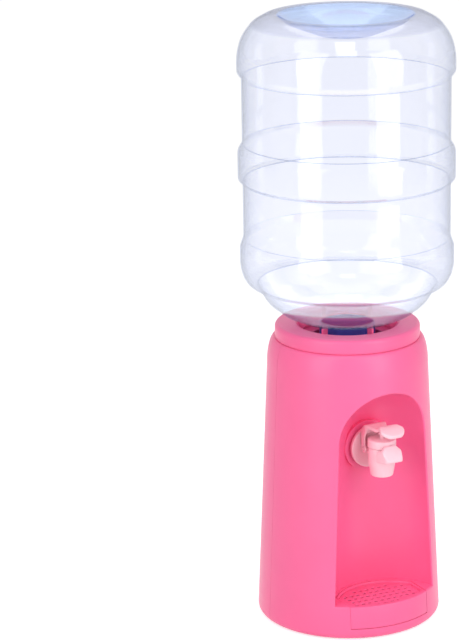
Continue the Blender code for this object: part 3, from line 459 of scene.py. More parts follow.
def rounded(points: Sequence[Point], radius: float, closed: bool = True, step: float = 15.0) -> Line:
    """Rounds the corners of an outline.

    Args:
        points: the corners as (x, y), or as (x, y, radius) for a corner with its own radius.
        radius: the radius of the other corners.
        closed: whether the outline returns to its start. The ends of an open one stay sharp.
        step: the most that one short side turns, in degrees.

    Returns:
        The outline with its corners rounded.
    """
    line: Line = []
    for i, corner in enumerate(points):
        here = Vector(corner[:2])
        if not closed and i in (0, len(points) - 1):
            line.append(tuple(here))
            continue
        before = Vector(points[i - 1][:2]) - here
        after = Vector(points[(i + 1) % len(points)][:2]) - here
        wanted = corner[2] if len(corner) > 2 else radius
        turn = math.pi - before.angle(after)
        if wanted <= 0 or turn < LEAST_TURN:
            line.append(tuple(here))
            continue
        reach = min(wanted * math.tan(turn / 2), MOST_OF_SIDE * before.length, MOST_OF_SIDE * after.length)
        real = reach / math.tan(turn / 2)
        middle = here + (before.normalized() + after.normalized()).normalized() * math.hypot(reach, real)
        first, last = here + before.normalized() * reach - middle, here + after.normalized() * reach - middle
        start = math.atan2(first.y, first.x)
        swing = (math.atan2(last.y, last.x) - start + math.pi) % (2 * math.pi) - math.pi
        steps = max(2, math.ceil(math.degrees(turn) / step))
        for k in range(steps + 1):
            angle = start + swing * k / steps
            line.append((middle.x + real * math.cos(angle), middle.y + real * math.sin(angle)))
    return line


def arc(centre: Point, radius: float, start: float, end: float, steps: int) -> Line:
    """Points on an arc.

    Args:
        centre: the arc's centre.
        radius: its radius.
        start: where it starts, in degrees from the first axis.
        end: where it ends.
        steps: how many short sides it has.

    Returns:
        Its points, ends included.
    """
    turns = [math.radians(start + (end - start) * i / steps) for i in range(steps + 1)]
    return [(centre[0] + radius * math.cos(t), centre[1] + radius * math.sin(t)) for t in turns]


def spaced(line: Line, step: float) -> Line:
    """A line with points added so that no side is longer than step."""
    made: Line = []
    for start, end in zip(line, line[1:]):
        parts = max(1, math.ceil(math.dist(start, end) / step))
        made += [
            (start[0] + (end[0] - start[0]) * k / parts, start[1] + (end[1] - start[1]) * k / parts)
            for k in range(parts)
        ]
    return [*made, line[-1]]


def soften(mesh: bpy.types.Mesh, limit: float = 38.0) -> None:
    """Shades a mesh smooth but for the edges that turn by more than limit degrees."""
    with editing(mesh) as shape:
        for face in shape.faces:
            face.smooth = True
        for edge in shape.edges:
            edge.smooth = len(edge.link_faces) == 2 and edge.calc_face_angle(0.0) < math.radians(limit)


def from_faces(name: str, points: Sequence[Point], faces: Sequence[Sequence[int]]) -> Piece:
    """Makes a closed piece from points and faces, with its faces turned outwards.

    Args:
        name: the piece's name.
        points: its points.
        faces: its faces, as numbers of points.

    Returns:
        The piece, in the scene.
    """
    mesh = bpy.data.meshes.new(name)
    mesh.from_pydata([tuple(point) for point in points], [], [list(face) for face in faces])
    with editing(mesh) as shape:
        bmesh.ops.recalc_face_normals(shape, faces=shape.faces)
    soften(mesh)
    return placed(name, mesh)


def turned(
    name: str,
    line: Line,
    sides: int = 96,
    at: Point = (0.0, 0.0),
    closed: bool = True,
    sweep: tuple[float, float] = (0.0, 360.0),
) -> Piece:
    """Turns a section about an upright axis.

    Args:
        name: the piece's name.
        line: the section as (radius, height).
        sides: how many steps the turn has.
        at: where the axis stands.
        closed: whether the section is a ring's, or an open line that starts and ends on the axis.
        sweep: where the turn starts and ends, in degrees from +X.

    Returns:
        The turned piece.
    """
    angles = np.radians(np.linspace(*sweep, sides + 1))
    whole = sweep[1] - sweep[0] > 359.9
    angles = angles[:-1] if whole else angles
    points: list[Point] = []
    index = np.empty((len(angles), len(line)), int)
    for j, (radius, height) in enumerate(line):
        if radius < TINY:
            index[:, j] = len(points)
            points.append((at[0], at[1], height))
            continue
        index[:, j] = len(points) + np.arange(len(angles))
        points += [(at[0] + radius * math.cos(a), at[1] + radius * math.sin(a), height) for a in angles]
    faces = []
    for i in range(len(angles) if whole else len(angles) - 1):
        k = (i + 1) % len(angles)
        for j in range(len(line) if closed else len(line) - 1):
            m = (j + 1) % len(line)
            face = list(dict.fromkeys((index[i, j], index[k, j], index[k, m], index[i, m])))
            if len(face) > 2:
                faces.append(face)
    if not whole:
        faces += [list(index[0]), list(index[-1, ::-1])]
    return from_faces(name, points, faces)


def lofted(name: str, rings: Sequence[Sequence[Point]]) -> Piece:
    """Skins a stack of rings, each with as many points, and closes both ends.

    Args:
        name: the piece's name.
        rings: the rings in order.

    Returns:
        The closed piece.
    """
    count = len(rings[0])
    points = [point for ring in rings for point in ring]
    faces: list[list[int]] = []
    for level in range(len(rings) - 1):
        base = level * count
        faces += [
            [base + i, base + (i + 1) % count, base + count + (i + 1) % count, base + count + i]
            for i in range(count)
        ]
    faces += [list(range(count)), list(range(len(points) - count, len(points)))]
    return from_faces(name, points, faces)


def rod(name: str, radius: float, start: Point, end: Point, sides: int = 48) -> Piece:
    """A round bar between two points.

    Args:
        name: the piece's name.
        radius: its radius.
        start: the middle of its first face.
        end: the middle of its last face.
        sides: how many sides it has.

    Returns:
        The bar.
    """
    along = Vector(end) - Vector(start)
    turn = along.to_track_quat("Z", "Y").to_matrix()
    circle = [turn @ Vector((x, y, 0)) for x, y in arc((0, 0), radius, 0, 360, sides)[:-1]]
    return lofted(name, [[tuple(Vector(place) + point) for point in circle] for place in (start, end)])


def lying(name: str, radius: float, z: float, start: float, end: float, sides: int = 48) -> Piece:
    """A round bar that lies along Y at a height, from start to end."""
    return rod(name, radius, (0, start, z), (0, end, z), sides)


def slab(name: str, outline: Line, low: float, high: float, turn: Matrix | None = None) -> Piece:
    """An outline raised from low to high, and then turned.

    Args:
        name: the piece's name.
        outline: its plan.
        low: where it starts.
        high: where it ends.
        turn: the turn from its own axes to the frame's.

    Returns:
        The slab.
    """
    piece = lofted(name, [[(x, y, level) for x, y in outline] for level in (low, high)])
    if turn:
        piece.data.transform(turn)
    return piece


# An outline drawn as (y, z) is raised along X by this turn.
SIDE_VIEW = Matrix(((0, 0, 1, 0), (1, 0, 0, 0), (0, 1, 0, 0), (0, 0, 0, 1)))
# An outline drawn as (x, z) is raised along Y by this one.
FRONT_VIEW = Matrix(((1, 0, 0, 0), (0, 0, 1, 0), (0, 1, 0, 0), (0, 0, 0, 1)))


def settle(piece: Piece) -> Piece:
    """Applies a piece's modifiers to its mesh."""
    made = bpy.data.meshes.new_from_object(piece.evaluated_get(bpy.context.evaluated_depsgraph_get()))
    piece.modifiers.clear()
    piece.data = made
    return piece


def worked(piece: Piece, how: Joinery, *others: Piece) -> Piece:
    """Joins others to a piece, cuts them from it or keeps what lies inside them.

    Args:
        piece: the piece to work.
        how: what is done.
        others: the solids to do it with, which are used up.

    Returns:
        The worked piece.
    """
    for other in others:
        modifier = piece.modifiers.new(how.name, "BOOLEAN")
        modifier.operation, modifier.solver, modifier.object = how.value, "EXACT", other
    settle(piece)
    for other in others:
        bpy.data.objects.remove(other)
    soften(piece.data)
    return piece


def melted(piece: Piece, cell: float, rounds: int) -> Piece:
    """Fuses a piece into one skin whose corners and junctions are softly moulded.

    Args:
        piece: the piece.
        cell: the size of the skin's cells.
        rounds: how often the skin is smoothed.

    Returns:
        The same piece with its new skin.
    """
    remesh = piece.modifiers.new("skin", "REMESH")
    remesh.mode, remesh.voxel_size = "VOXEL", cell
    smooth = piece.modifiers.new("smooth", "SMOOTH")
    smooth.factor, smooth.iterations = 0.5, rounds
    settle(piece)
    for face in piece.data.polygons:
        face.use_smooth = True
    return piece


@dataclass(frozen=True)
class Space:
    """Where one solid of the frame lies."""

    low: Vector
    high: Vector

    @classmethod
    def of(cls, node: str) -> "Space":
        """The space of a node."""
        return cls(*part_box(node))

    @property
    def middle(self) -> Vector:
        """The middle of the space."""
        return (self.low + self.high) / 2

    @property
    def radius(self) -> float:
        """Half its width along X."""
        return (self.high.x - self.low.x) / 2


# ---------------------------------------------------------------- housing


@dataclass
class Housing:
    """The two shells with the cup niche, and the collar on top."""

    foot_radius: float = 0.0922  # of the cone, at the counter
    taper: float = 0.046
    shoulder_height: float = 0.028
    foot_fillet: float = 0.0065
    wall: float = 0.0025
    lip_width: float = 0.0020
    ledge_width: float = 0.0048
    ledge_depth: float = 0.0045
    bottom_opening: float = 0.0825
    niche_floor: float = 0.0360
    niche_floor_radius: float = 0.0575
    niche_dome_radius: float = 0.0510
    niche_dome_z: float = 0.1980
    niche_edge: float = 0.0018
    niche_axis: float = -0.0820
    tray_half: float = 0.0440
    tray_margin: float = 0.0035
    pad_radius: float = 0.0255
    pad_y: float = -0.0380
    pad_bore: float = 0.0083
    throat_radius: float = 0.0480
    collar_round: float = 0.0040
    rib_count: int = 6
    rib_thickness: float = 0.0016
    rib_inner: float = 0.0400
    collar_height: float = 0.014
    lip_clearance: float = 0.0008
    parting: float = 0.09  # degrees left open beside each half of the parting line
    tap_rise: float = 0.00075  # of the tap's axis over the middle of its body
    neck_rise: float = 0.001  # of the bottle's shoulder over the collar
    neck_slope: float = 3.0 / 22.0  # of the bottle's shoulder

    def __post_init__(self) -> None:
        """Reads the places of the shells, the collar, the tap and the bottle."""
        shell, cover = Space.of("rear_shell"), Space.of("top_cover")
        self.foot_z, self.top = shell.low.z, shell.high.z
        self.collar_top = self.top + self.collar_height
        self.tongue_z, self.collar_radius = cover.low.z, cover.radius
        self.tap_z = Space.of("tap_body").middle.z + self.tap_rise
        self.shoulder_z = self.top - self.shoulder_height
        self.lip_outer = self.collar_radius + self.lip_clearance
        self.lip_inner = self.lip_outer - self.lip_width
        self.tray = Space.of("drip_tray")
        self.neck_root = self.collar_top + self.neck_rise

    def radius(self, z: float) -> float:
        """The housing's radius at a height, below the shoulder."""
        return self.foot_radius - self.taper * z

    def outer_line(self, inset: float, rows: float) -> Line:
        """The housing's outline from its foot to its top.

        Args:
            inset: how far it is moved in.
            rows: the longest side on the straight cone.

        Returns:
            The outline as (radius, height).
        """
        fillet_z = self.foot_z + self.foot_fillet
        centre = (self.radius(fillet_z) - self.foot_fillet, fillet_z)
        foot = arc(centre, self.foot_fillet - inset, -90, 0, 6)
        wide = self.radius(self.shoulder_z) - self.lip_outer
        low, tall = self.shoulder_z, self.shoulder_height
        turns = [math.pi / 2 * i / 14 for i in range(15)]
        shoulder = [(self.lip_outer - inset + wide * math.cos(t), low + tall * math.sin(t)) for t in turns]
        return foot[:-1] + spaced([foot[-1], shoulder[0]], rows)[:-1] + shoulder

    def core(self, inset: float) -> Piece:
        """The whole space inside the housing's outline, moved in by inset."""
        points = self.outer_line(inset, 1.0)
        top = points[-1][1] - inset
        line = [(0, points[0][1]), *points[:-1], (points[-1][0], top), (0, top)]
        return turned("core", line, 180, closed=False)

    def half_shell(self, name: str, sweep: tuple[float, float], rows: float) -> Piece:
        """One half of the housing's wall, with the ledge that carries the reservoir."""
        ledge_inner, ledge = self.lip_inner - self.ledge_width, self.top - self.ledge_depth
        plate_top, fillet_z = self.foot_z + self.wall, self.foot_z + self.foot_fillet
        line = [
            *self.outer_line(0.0, rows),
            (self.lip_inner, self.top),
            (self.lip_inner, ledge),
            (ledge_inner, ledge),
            (ledge_inner, ledge - self.wall),
            (self.radius(self.shoulder_z) - self.wall - 0.004, self.shoulder_z + 0.006),
            (self.radius(self.shoulder_z) - self.wall, self.shoulder_z - 0.004),
            (self.radius(fillet_z) - self.wall, fillet_z),
            (self.bottom_opening, plate_top),
            (self.bottom_opening, self.foot_z),
        ]
        return turned(name, line, 96, sweep=sweep)

    def niche(self, name: str, margin: float) -> Piece:
        """The cup niche's space, grown by margin."""
        dome = arc((0, self.niche_dome_z), self.niche_dome_radius + margin, 0, 90, 20)
        floor = self.niche_floor - margin
        wall = spaced([(self.niche_floor_radius + margin, floor), dome[0]], 0.012)
        line = [(0.0, floor), *wall[:-1], *dome[:-1], (0.0, dome[-1][1])]
        return turned(name, line, 144, at=(0, self.niche_axis), closed=False)

    def tray_plan(self, inset: float, front: float, steps: int = 40) -> Line:
        """The tray's plan: a round back, straight sides and the housing's curve in front.

        Args:
            inset: how far it is moved in from the tray's wall.
            front: the radius of its front.
            steps: how many short sides the back has.

        Returns:
            The plan as (x, y).
        """
        half = self.tray_half - inset
        back = self.niche_floor_radius - self.tray_margin - inset
        back_angle = math.degrees(math.acos(half / back))
        front_angle = math.degrees(math.asin(half / front))
        rear = arc((0, self.niche_axis), back, back_angle, 180 - back_angle, steps)
        return rear + arc((0, 0), front, 270 - front_angle, 270 + front_angle, steps // 2)

    def build_front(self) -> Piece:
        """The front shell with its niche, the tray's pocket and the tap's seat."""
        shell = self.half_shell("housing_front", (-180 + self.parting, -self.parting), 0.004)
        limit = self.wall / 2
        niche_wall = worked(self.niche("niche_wall", self.wall), Joinery.KEEP_INSIDE, self.core(limit))
        floor = self.tray.low.z - GAP
        plan = self.tray_plan(-GAP - self.wall, self.radius(0) - self.wall)
        pocket_wall = slab("pocket_wall", plan, floor - self.wall, self.niche_floor - limit)
        pocket_wall = worked(pocket_wall, Joinery.KEEP_INSIDE, self.core(limit))
        shell = worked(shell, Joinery.JOIN, niche_wall, pocket_wall)
        pocket = slab("pocket", self.tray_plan(-GAP, self.radius(0) * 1.3), floor, self.niche_floor + 0.001)
        shell = worked(shell, Joinery.CUT, self.niche("niche_space", 0.0), pocket)
        back = self.niche_axis + self.niche_dome_radius + 2 * self.wall
        front = self.pad_y + self.wall
        pad = lying("pad", self.pad_radius, self.tap_z, self.pad_y, back, 96)
        hollow = lying("hollow", self.pad_radius - self.wall, self.tap_z, front, back + 0.01, 96)
        bore = lying("bore", self.pad_bore, self.tap_z, self.pad_y - 0.01, back)
        shell = worked(worked(shell, Joinery.JOIN, pad), Joinery.CUT, hollow, bore)
        EdgeRounding(self).apply(shell)
        return stand_for(shell, "front_shell")

    def build_rear(self) -> Piece:
        """The plain rear shell."""
        shell = self.half_shell("housing_rear", (self.parting, 180 - self.parting), 0.02)
        return stand_for(shell, "rear_shell")

    def build_cover(self) -> Piece:
        """The collar with its throat, and the ribs that the bottle sits on."""
        top, wall, outer = self.collar_top, self.wall, self.collar_radius
        line = rounded(
            [
                (outer, self.top + GAP, 0.0003),
                (outer, top, self.collar_round),
                (self.throat_radius + 0.0035, top, 0.0010),
                (self.throat_radius, top - 0.0025, 0.0012),
                (self.throat_radius, self.tongue_z),
                (self.throat_radius + wall, self.tongue_z),
                (self.throat_radius + wall, top - 0.004),
                (self.throat_radius + wall + 0.0015, top - wall),
                (outer - wall, top - wall, 0.0015),
                (outer - wall, self.tongue_z),
                (self.lip_inner - GAP, self.tongue_z),
                (self.lip_inner - GAP, self.top + GAP),
            ],
            0.0002,
            step=10,
        )
        cover = turned("collar", line, 144)
        ribs = [self.rib(i * 360 / self.rib_count) for i in range(self.rib_count)]
        return stand_for(worked(cover, Joinery.JOIN, *ribs), "top_cover")

    def rib(self, degrees: float) -> Piece:
        """One rib of the throat, whose top lies along the bottle's shoulder."""
        outer = self.throat_radius + self.wall / 2
        neck = Space.of("bottle_cap").radius - 0.0025
        tops = [self.neck_root + (r - neck) * self.neck_slope - GAP for r in (self.rib_inner, outer)]
        outline = [(-outer, self.tongue_z + 0.003), (-self.rib_inner, self.tongue_z + 0.011)]
        outline += [(-self.rib_inner, tops[0], 0.0012), (-outer, tops[1], 0.0)]
        half = self.rib_thickness / 2
        turn = Matrix.Rotation(math.radians(degrees), 4, "Z") @ SIDE_VIEW
        return slab("rib", rounded(outline, 0.0), -half, half, turn)

    def build(self) -> list[Piece]:
        """Builds the housing's pieces."""
        return [self.build_front(), self.build_rear(), self.build_cover()]


@dataclass
class EdgeRounding:
    """Rounds the long edge where the niche meets the housing's outside."""

    housing: Housing
    fine: float = 0.0011  # the skin's cells along the edge
    rounds: int = 9
    reach: float = 1.6  # of the fine skin, in radii of the edge
    on_cone: float = 2e-5  # points this near the cone lie on it
    on_niche: float = 2e-4
    foot_limit: float = 0.0095  # below this the foot's fillet bends the cone
    agreement: float = 0.8  # between a face's way out and the true one

    def outside(self, points: np.ndarray) -> tuple[np.ndarray, np.ndarray]:
        """How deep points lie under the housing's cone, and the way out.

        Args:
            points: the points, one a row.

        Returns:
            Their depths, and the cone's outward normals.
        """
        house = self.housing
        flat = np.hypot(points[:, 0], points[:, 1])
        lean = 1 / math.hypot(1, house.taper)
        depth = (house.foot_radius - house.taper * points[:, 2] - flat) * lean
        normal = np.stack([points[:, 0] / flat, points[:, 1] / flat, np.full_like(flat, house.taper)], 1)
        return depth, normal * lean

    def niche(self, points: np.ndarray) -> tuple[np.ndarray, np.ndarray]:
        """How far points lie outside the niche's space, and the way into it.

        Args:
            points: the points, one a row.

        Returns:
            Their distances, and the wall's normals, which point into the niche.
        """
        house = self.housing
        away = points - np.array([0, house.niche_axis, 0])
        flat = np.maximum(np.hypot(away[:, 0], away[:, 1]), TINY)
        height = house.niche_dome_z - house.niche_floor
        slope = (house.niche_floor_radius - house.niche_dome_radius) / height
        lean = 1 / math.hypot(1, slope)
        side = (flat - house.niche_dome_radius + slope * (points[:, 2] - house.niche_dome_z)) * lean
        side_way = np.stack([away[:, 0] / flat, away[:, 1] / flat, np.full_like(flat, slope)], 1) * lean
        below = house.niche_floor - points[:, 2]
        under = (below > 0) & (side > 0)
        far = np.where(under, np.hypot(side, below), np.maximum(side, below))
        down = np.array([0, 0, -1.0])
        corner = (side_way * side[:, None] + down * below[:, None]) / np.maximum(far, TINY)[:, None]
        way = np.where(under[:, None], corner, np.where((below > side)[:, None], down, side_way))
        ball = away - np.array([0, 0, house.niche_dome_z])
        ball_far = np.maximum(np.linalg.norm(ball, axis=1), TINY)
        domed = points[:, 2] > house.niche_dome_z
        far = np.where(domed, ball_far - house.niche_dome_radius, far)
        return far, -np.where(domed[:, None], ball / ball_far[:, None], way)

    def refine(self, mesh: bpy.types.Mesh) -> None:
        """Splits the sides near the edge until they are short."""
        reach = self.reach * self.housing.niche_edge
        with editing(mesh) as shape:
            bmesh.ops.triangulate(shape, faces=shape.faces)
            for _ in range(self.rounds):
                edges = list(shape.edges)
                ends = np.array([[v.co[:] for v in edge.verts] for edge in edges])
                long = np.linalg.norm(ends[:, 0] - ends[:, 1], axis=1)
                near = np.full(len(edges), np.inf)
                for share in (0.0, 0.25, 0.5, 0.75, 1.0):
                    points = ends[:, 0] * (1 - share) + ends[:, 1] * share
                    size = np.maximum(np.abs(self.outside(points)[0]), np.abs(self.niche(points)[0]))
                    near = np.minimum(near, size)
                chosen = [edges[i] for i in np.flatnonzero((near < reach) & (long > self.fine))]
                if not chosen:
                    break
                bmesh.ops.subdivide_edges(shape, edges=chosen, cuts=1)
                bmesh.ops.triangulate(shape, faces=[face for face in shape.faces if len(face.verts) > 3])

    def apply(self, shell: Piece) -> None:
        """Moves the edge's points onto a fillet and gives the skin its true normals."""
        self.refine(shell.data)
        mesh, radius = shell.data, self.housing.niche_edge
        points = np.array([v.co[:] for v in mesh.vertices])
        (depth, out), (far, into) = self.outside(points), self.niche(points)
        share = np.stack([radius - depth, radius - far], 1)
        size = np.linalg.norm(share, axis=1)
        near = (share > 0).all(1) & (size > radius) & (points[:, 2] < self.housing.shoulder_z)
        unit = share / np.maximum(size, TINY)[:, None]
        shift = radius * (1 - unit) - np.stack([depth, far], 1)
        moved = points - out * shift[:, :1] - into * shift[:, 1:]
        points[near] = moved[near]
        mesh.vertices.foreach_set("co", points.astype(np.float32).ravel())
        mesh.update()
        soften(mesh)
        normals = np.empty(len(mesh.loops) * 3, np.float32)
        mesh.corner_normals.foreach_get("vector", normals)
        normals = normals.reshape(-1, 3).astype(float)
        corner = np.empty(len(mesh.loops), np.int32)
        mesh.loops.foreach_get("vertex_index", corner)
        faces = np.repeat(
            np.array([f.normal[:] for f in mesh.polygons]), [f.loop_total for f in mesh.polygons], axis=0
        )
        fillet = out * unit[:, :1] + into * unit[:, 1:]
        fillet /= np.maximum(np.linalg.norm(fillet, axis=1), TINY)[:, None]
        straight = (points[:, 2] < self.housing.shoulder_z) & (points[:, 2] > self.foot_limit)
        above_floor = points[:, 2] > self.housing.niche_floor + 0.0001
        for known, true in (
            (straight & (np.abs(depth) < self.on_cone) & ~near, out),
            ((np.abs(far) < self.on_niche) & ~near & above_floor, into),
            (near, fillet),
        ):
            use = known[corner] & ((faces * true[corner]).sum(1) > self.agreement)
            normals[use] = true[corner][use]
        mesh.normals_split_custom_set(normals.astype(np.float32))


# ---------------------------------------------------------------- drip tray


@dataclass
class DripTray:
    """The pull-out tray and the grille that lies in it."""

    housing: Housing
    wall: float = 0.0022
    front_wall: float = 0.0055
    ledge: float = 0.0020
    round: float = 0.0007
    hole_pitch: tuple[float, float] = (0.00725, 0.00770)
    hole_size: tuple[float, float] = (0.0038, 0.0031)
    hole_margin: float = 0.0022
    hole_round: float = 0.0011
    hole_half: tuple[float, float] = (0.0016, 0.0012)  # kept inside the grille's edge
    first_row: float = 0.0024  # behind the grille's front
    grille_round: float = 0.00035

    def __post_init__(self) -> None:
        """Reads the places of the tray and the grille."""
        self.tray, self.grille = Space.of("drip_tray"), Space.of("drip_grille")
        self.inner_front = self.housing.radius(self.housing.niche_floor) - self.front_wall

    def build_tray(self) -> Piece:
        """The tray: a stack of its plan, round every edge."""
        low, top, edge = self.tray.low.z, self.tray.high.z, self.round
        ledge_z, deep = self.grille.low.z - GAP, self.wall + self.ledge

        def front(z: float) -> float:
            """The radius of the tray's front at a height."""
            return self.housing.radius(z) - GAP / 2

        turns = [math.radians(angle) for angle in (0, 22.5, 45, 67.5, 90)]
        outside = [(edge * (1 - math.sin(t)), low + edge * (1 - math.cos(t))) for t in turns]
        outside += [(edge * (1 - math.cos(t)), top - edge * (1 - math.sin(t))) for t in turns]
        rim = [(self.wall - edge + edge * math.sin(t), top - edge * (1 - math.cos(t))) for t in turns]
        levels = [(inset, front(z) - inset, z) for inset, z in outside]
        levels += [(inset, self.inner_front + self.wall - inset, z) for inset, z in rim]
        ledge_front = self.inner_front - self.ledge
        levels += [
            (self.wall, self.inner_front, ledge_z),
            (deep - edge / 2, ledge_front + edge / 2, ledge_z),
            (deep, ledge_front, ledge_z - edge / 2),
            (deep, ledge_front, low + self.wall + 0.001),
            (deep + 0.001, ledge_front - 0.001, low + self.wall),
        ]
        rings = [[(x, y, z) for x, y in self.housing.tray_plan(inset, reach)] for inset, reach, z in levels]
        return stand_for(lofted("tray", rings), "drip_tray")

    def holes(self) -> list[Line]:
        """The grille's oblong holes with round ends, kept off its edge."""
        inset = self.wall + GAP
        back = self.housing.niche_floor_radius - self.housing.tray_margin - inset - self.hole_margin
        front = self.inner_front - GAP - self.hole_margin
        side = self.housing.tray_half - inset - self.hole_margin
        pitch_x, pitch_y = self.hole_pitch
        half_x, half_y = self.hole_half
        axis = self.housing.niche_axis
        signs = ((-1, -1), (1, -1), (1, 1), (-1, 1))
        corners = [(a * self.hole_size[0] / 2, b * self.hole_size[1] / 2) for a, b in signs]
        made = []
        for row in range(int((front + axis + back) / pitch_y) + 1):
            y = -front + self.first_row + row * pitch_y
            for column in range(-12, 12):
                x = (column + 0.5) * pitch_x
                far = abs(x) + half_x
                inside = far < side and math.hypot(far, y - half_y) < front
                if inside and math.hypot(far, y + half_y - axis) < back:
                    made.append(rounded([(x + a, y + b) for a, b in corners], self.hole_round, step=30))
        return made

    def build_grille(self) -> Piece:
        """The grille, pressed through with rows of holes whose edges are rounded."""
        outline = self.housing.tray_plan(self.wall + GAP, self.inner_front - GAP)
        curve = bpy.data.curves.new("grille", "CURVE")
        curve.dimensions, curve.fill_mode = "2D", "BOTH"
        edge = self.grille_round
        thickness = self.grille.high.z - self.grille.low.z
        curve.extrude, curve.bevel_depth, curve.bevel_resolution = thickness / 2 - edge, edge, 2
        curve.offset = -edge
        for line in (outline, *self.holes()):
            spline = curve.splines.new("POLY")
            spline.points.add(len(line) - 1)
            for point, (x, y) in zip(spline.points, line):
                point.co = (x, y, self.grille.middle.z, 1)
            spline.use_cyclic_u = True
        holder = placed("grille_curve", curve)
        graph = bpy.context.evaluated_depsgraph_get()
        mesh = bpy.data.meshes.new_from_object(holder.evaluated_get(graph))
        bpy.data.objects.remove(holder)
        heights = np.array([v.co.z for v in mesh.vertices])
        mesh.transform(Matrix.Translation((0, 0, self.grille.middle.z - (heights.max() + heights.min()) / 2)))
        with editing(mesh) as shape:
            bmesh.ops.remove_doubles(shape, verts=shape.verts, dist=1e-6)
        soften(mesh)
        return stand_for(placed("grille", mesh), "drip_grille")

    def build(self) -> list[Piece]:
        """Builds the tray and the grille."""
        return [self.build_tray(), self.build_grille()]


# ---------------------------------------------------------------- tap


@dataclass
class Tap:
    """The push tap: its body with the splash nose, bonnet, stem and lever."""

    body_radius: float = 0.01325
    chamber: float = 0.0100
    spout_radius: float = 0.0110
    spout_bore: float = 0.0088
    spout_top: float = 0.1760
    flange_y: float = -0.0403
    flange_thickness: float = 0.0037
    flange_radius: float = 0.0210
    barrel_radius: float = 0.0066
    shank_radius: float = 0.0080
    shank_end: float = -0.0220
    trunnion: float = 0.0021
    fork: float = 0.0095
    arm: float = 0.0025
    visor_half: float = 0.0128
    visor_lip_half: float = 0.0090
    visor_reach: float = 0.0250
    bonnet_skirt: float = 0.0084
    lever_half_width: float = 0.0130
    neck_half_width: float = 0.0068
    lever_thickness: float = 0.0034
    cell: float = 0.00045  # of the moulded skin
    waterway: float = 0.0050
    bonnet_height: float = 0.0083
    groove: tuple[float, float] = (0.1950, 0.1972)  # heights of the O-ring's groove
    groove_radius: float = 0.0044
    stem_bore: float = 0.0025
    stem_radius: float = 0.0022
    stem_collar: float = 0.0068
    button_radius: float = 0.0040
    eye_radius: float = 0.0040
    lever_tip: float = -0.0939  # of the plate's middle line
    paddle_front: float = -0.0942
    paddle_round: float = 0.0095

    def __post_init__(self) -> None:
        """Reads the places of the tap's solids and the lever's pivot."""
        self.body, self.bonnet = Space.of("tap_body"), Space.of("tap_bonnet")
        self.stem = Space.of("tap_stem")
        self.axis = self.bonnet.middle.y
        self.spout_z = self.body.low.z
        joint = next(j for j in frame["joints"] if j["name"] == "lever_press")
        self.pivot = Vector(joint["pos_m"])
        self.bore_z = self.body.high.z - self.flange_radius
        self.top = self.bonnet.high.z - self.bonnet_height
        self.bonnet_z = self.top + GAP

    def build_body(self) -> Piece:
        """The tap's body, moulded in one with its flange, shank and splash nose."""
        y, z = self.axis, self.bore_z
        upright = rounded(
            [
                (0.0, self.spout_z),
                (self.spout_radius, self.spout_z, 0.0008),
                (self.body_radius, self.spout_top, 0.0060),
                (self.body_radius, self.top, 0.0006),
                (0.0, self.top),
            ],
            0.0,
            closed=False,
        )
        body = turned("tap", upright, 96, at=(0, y), closed=False)
        middle = self.flange_y - self.flange_thickness / 2
        reach = self.fork + self.arm
        parts = [
            lying("barrel", self.barrel_radius, z, middle, y + 0.0045),
            lying("flange", self.flange_radius, z, self.flange_y - self.flange_thickness, self.flange_y, 96),
            lying("shank", self.shank_radius, z, middle, self.shank_end),
            rod("trunnions", self.trunnion, (-reach, *self.pivot.yz), (reach, *self.pivot.yz), 32),
            self.visor(),
        ]
        body = melted(worked(body, Joinery.JOIN, *parts), self.cell, 16)
        low = self.spout_z
        bores = [
            lying("waterway", self.waterway, z, self.shank_end + 0.0025, y + 0.0015),
            rod("chamber", self.chamber, (0, y, self.spout_top), (0, y, self.top + 0.0025), 64),
            rod("valve_hole", self.waterway, (0, y, low), (0, y, self.spout_top + 0.0025)),
            rod("spout_bore", self.spout_bore, (0, y, low - 0.0025), (0, y, self.spout_top - 0.002), 64),
        ]
        return stand_for(worked(body, Joinery.CUT, *bores), "tap_body")

    def visor(self) -> Piece:
        """The splash nose: a wedge that narrows towards its lip."""
        y, drop = self.axis, 0.0006
        inside, lip_y, lip_z = self.body_radius * 0.8, self.axis - self.visor_reach, self.spout_top + 0.0060
        front = y - self.bonnet.radius - 0.0004
        side = [
            (y - inside, self.top - drop, 0.0),
            (front + 0.0004, self.top - drop, 0.0004),
            (front, self.top + 0.0046, 0.0006),
            (front - 0.0016, self.top + 0.0042, 0.0010),
            (lip_y, lip_z + 0.0026, 0.0020),
            (lip_y, lip_z),
            (y - inside, self.spout_top + 0.0040, 0.0),
        ]
        plan = [
            (-self.visor_half, y - inside, 0.0),
            (-self.visor_lip_half, lip_y - GAP),
            (self.visor_lip_half, lip_y - GAP),
            (self.visor_half, y - inside, 0.0),
        ]
        wedge = slab("visor", rounded(side, 0.0009), -self.visor_half, self.visor_half, SIDE_VIEW)
        narrow, wide, tip = 0.0045, self.visor_half + 0.0005, self.top + 0.0060
        face = [(-wide, self.spout_z), (wide, self.spout_z), (wide, self.top - 0.0030, 0.004)]
        face += [(narrow, tip, 0.002), (-narrow, tip, 0.002), (-wide, self.top - 0.0030, 0.004)]
        outline = slab("face", rounded(face, 0.0), -FAR, 0.0, FRONT_VIEW)
        plan_slab = slab("plan", rounded(plan, 0.0035), self.spout_z, tip + 0.002)
        return worked(worked(wedge, Joinery.KEEP_INSIDE, plan_slab), Joinery.KEEP_INSIDE, outline)

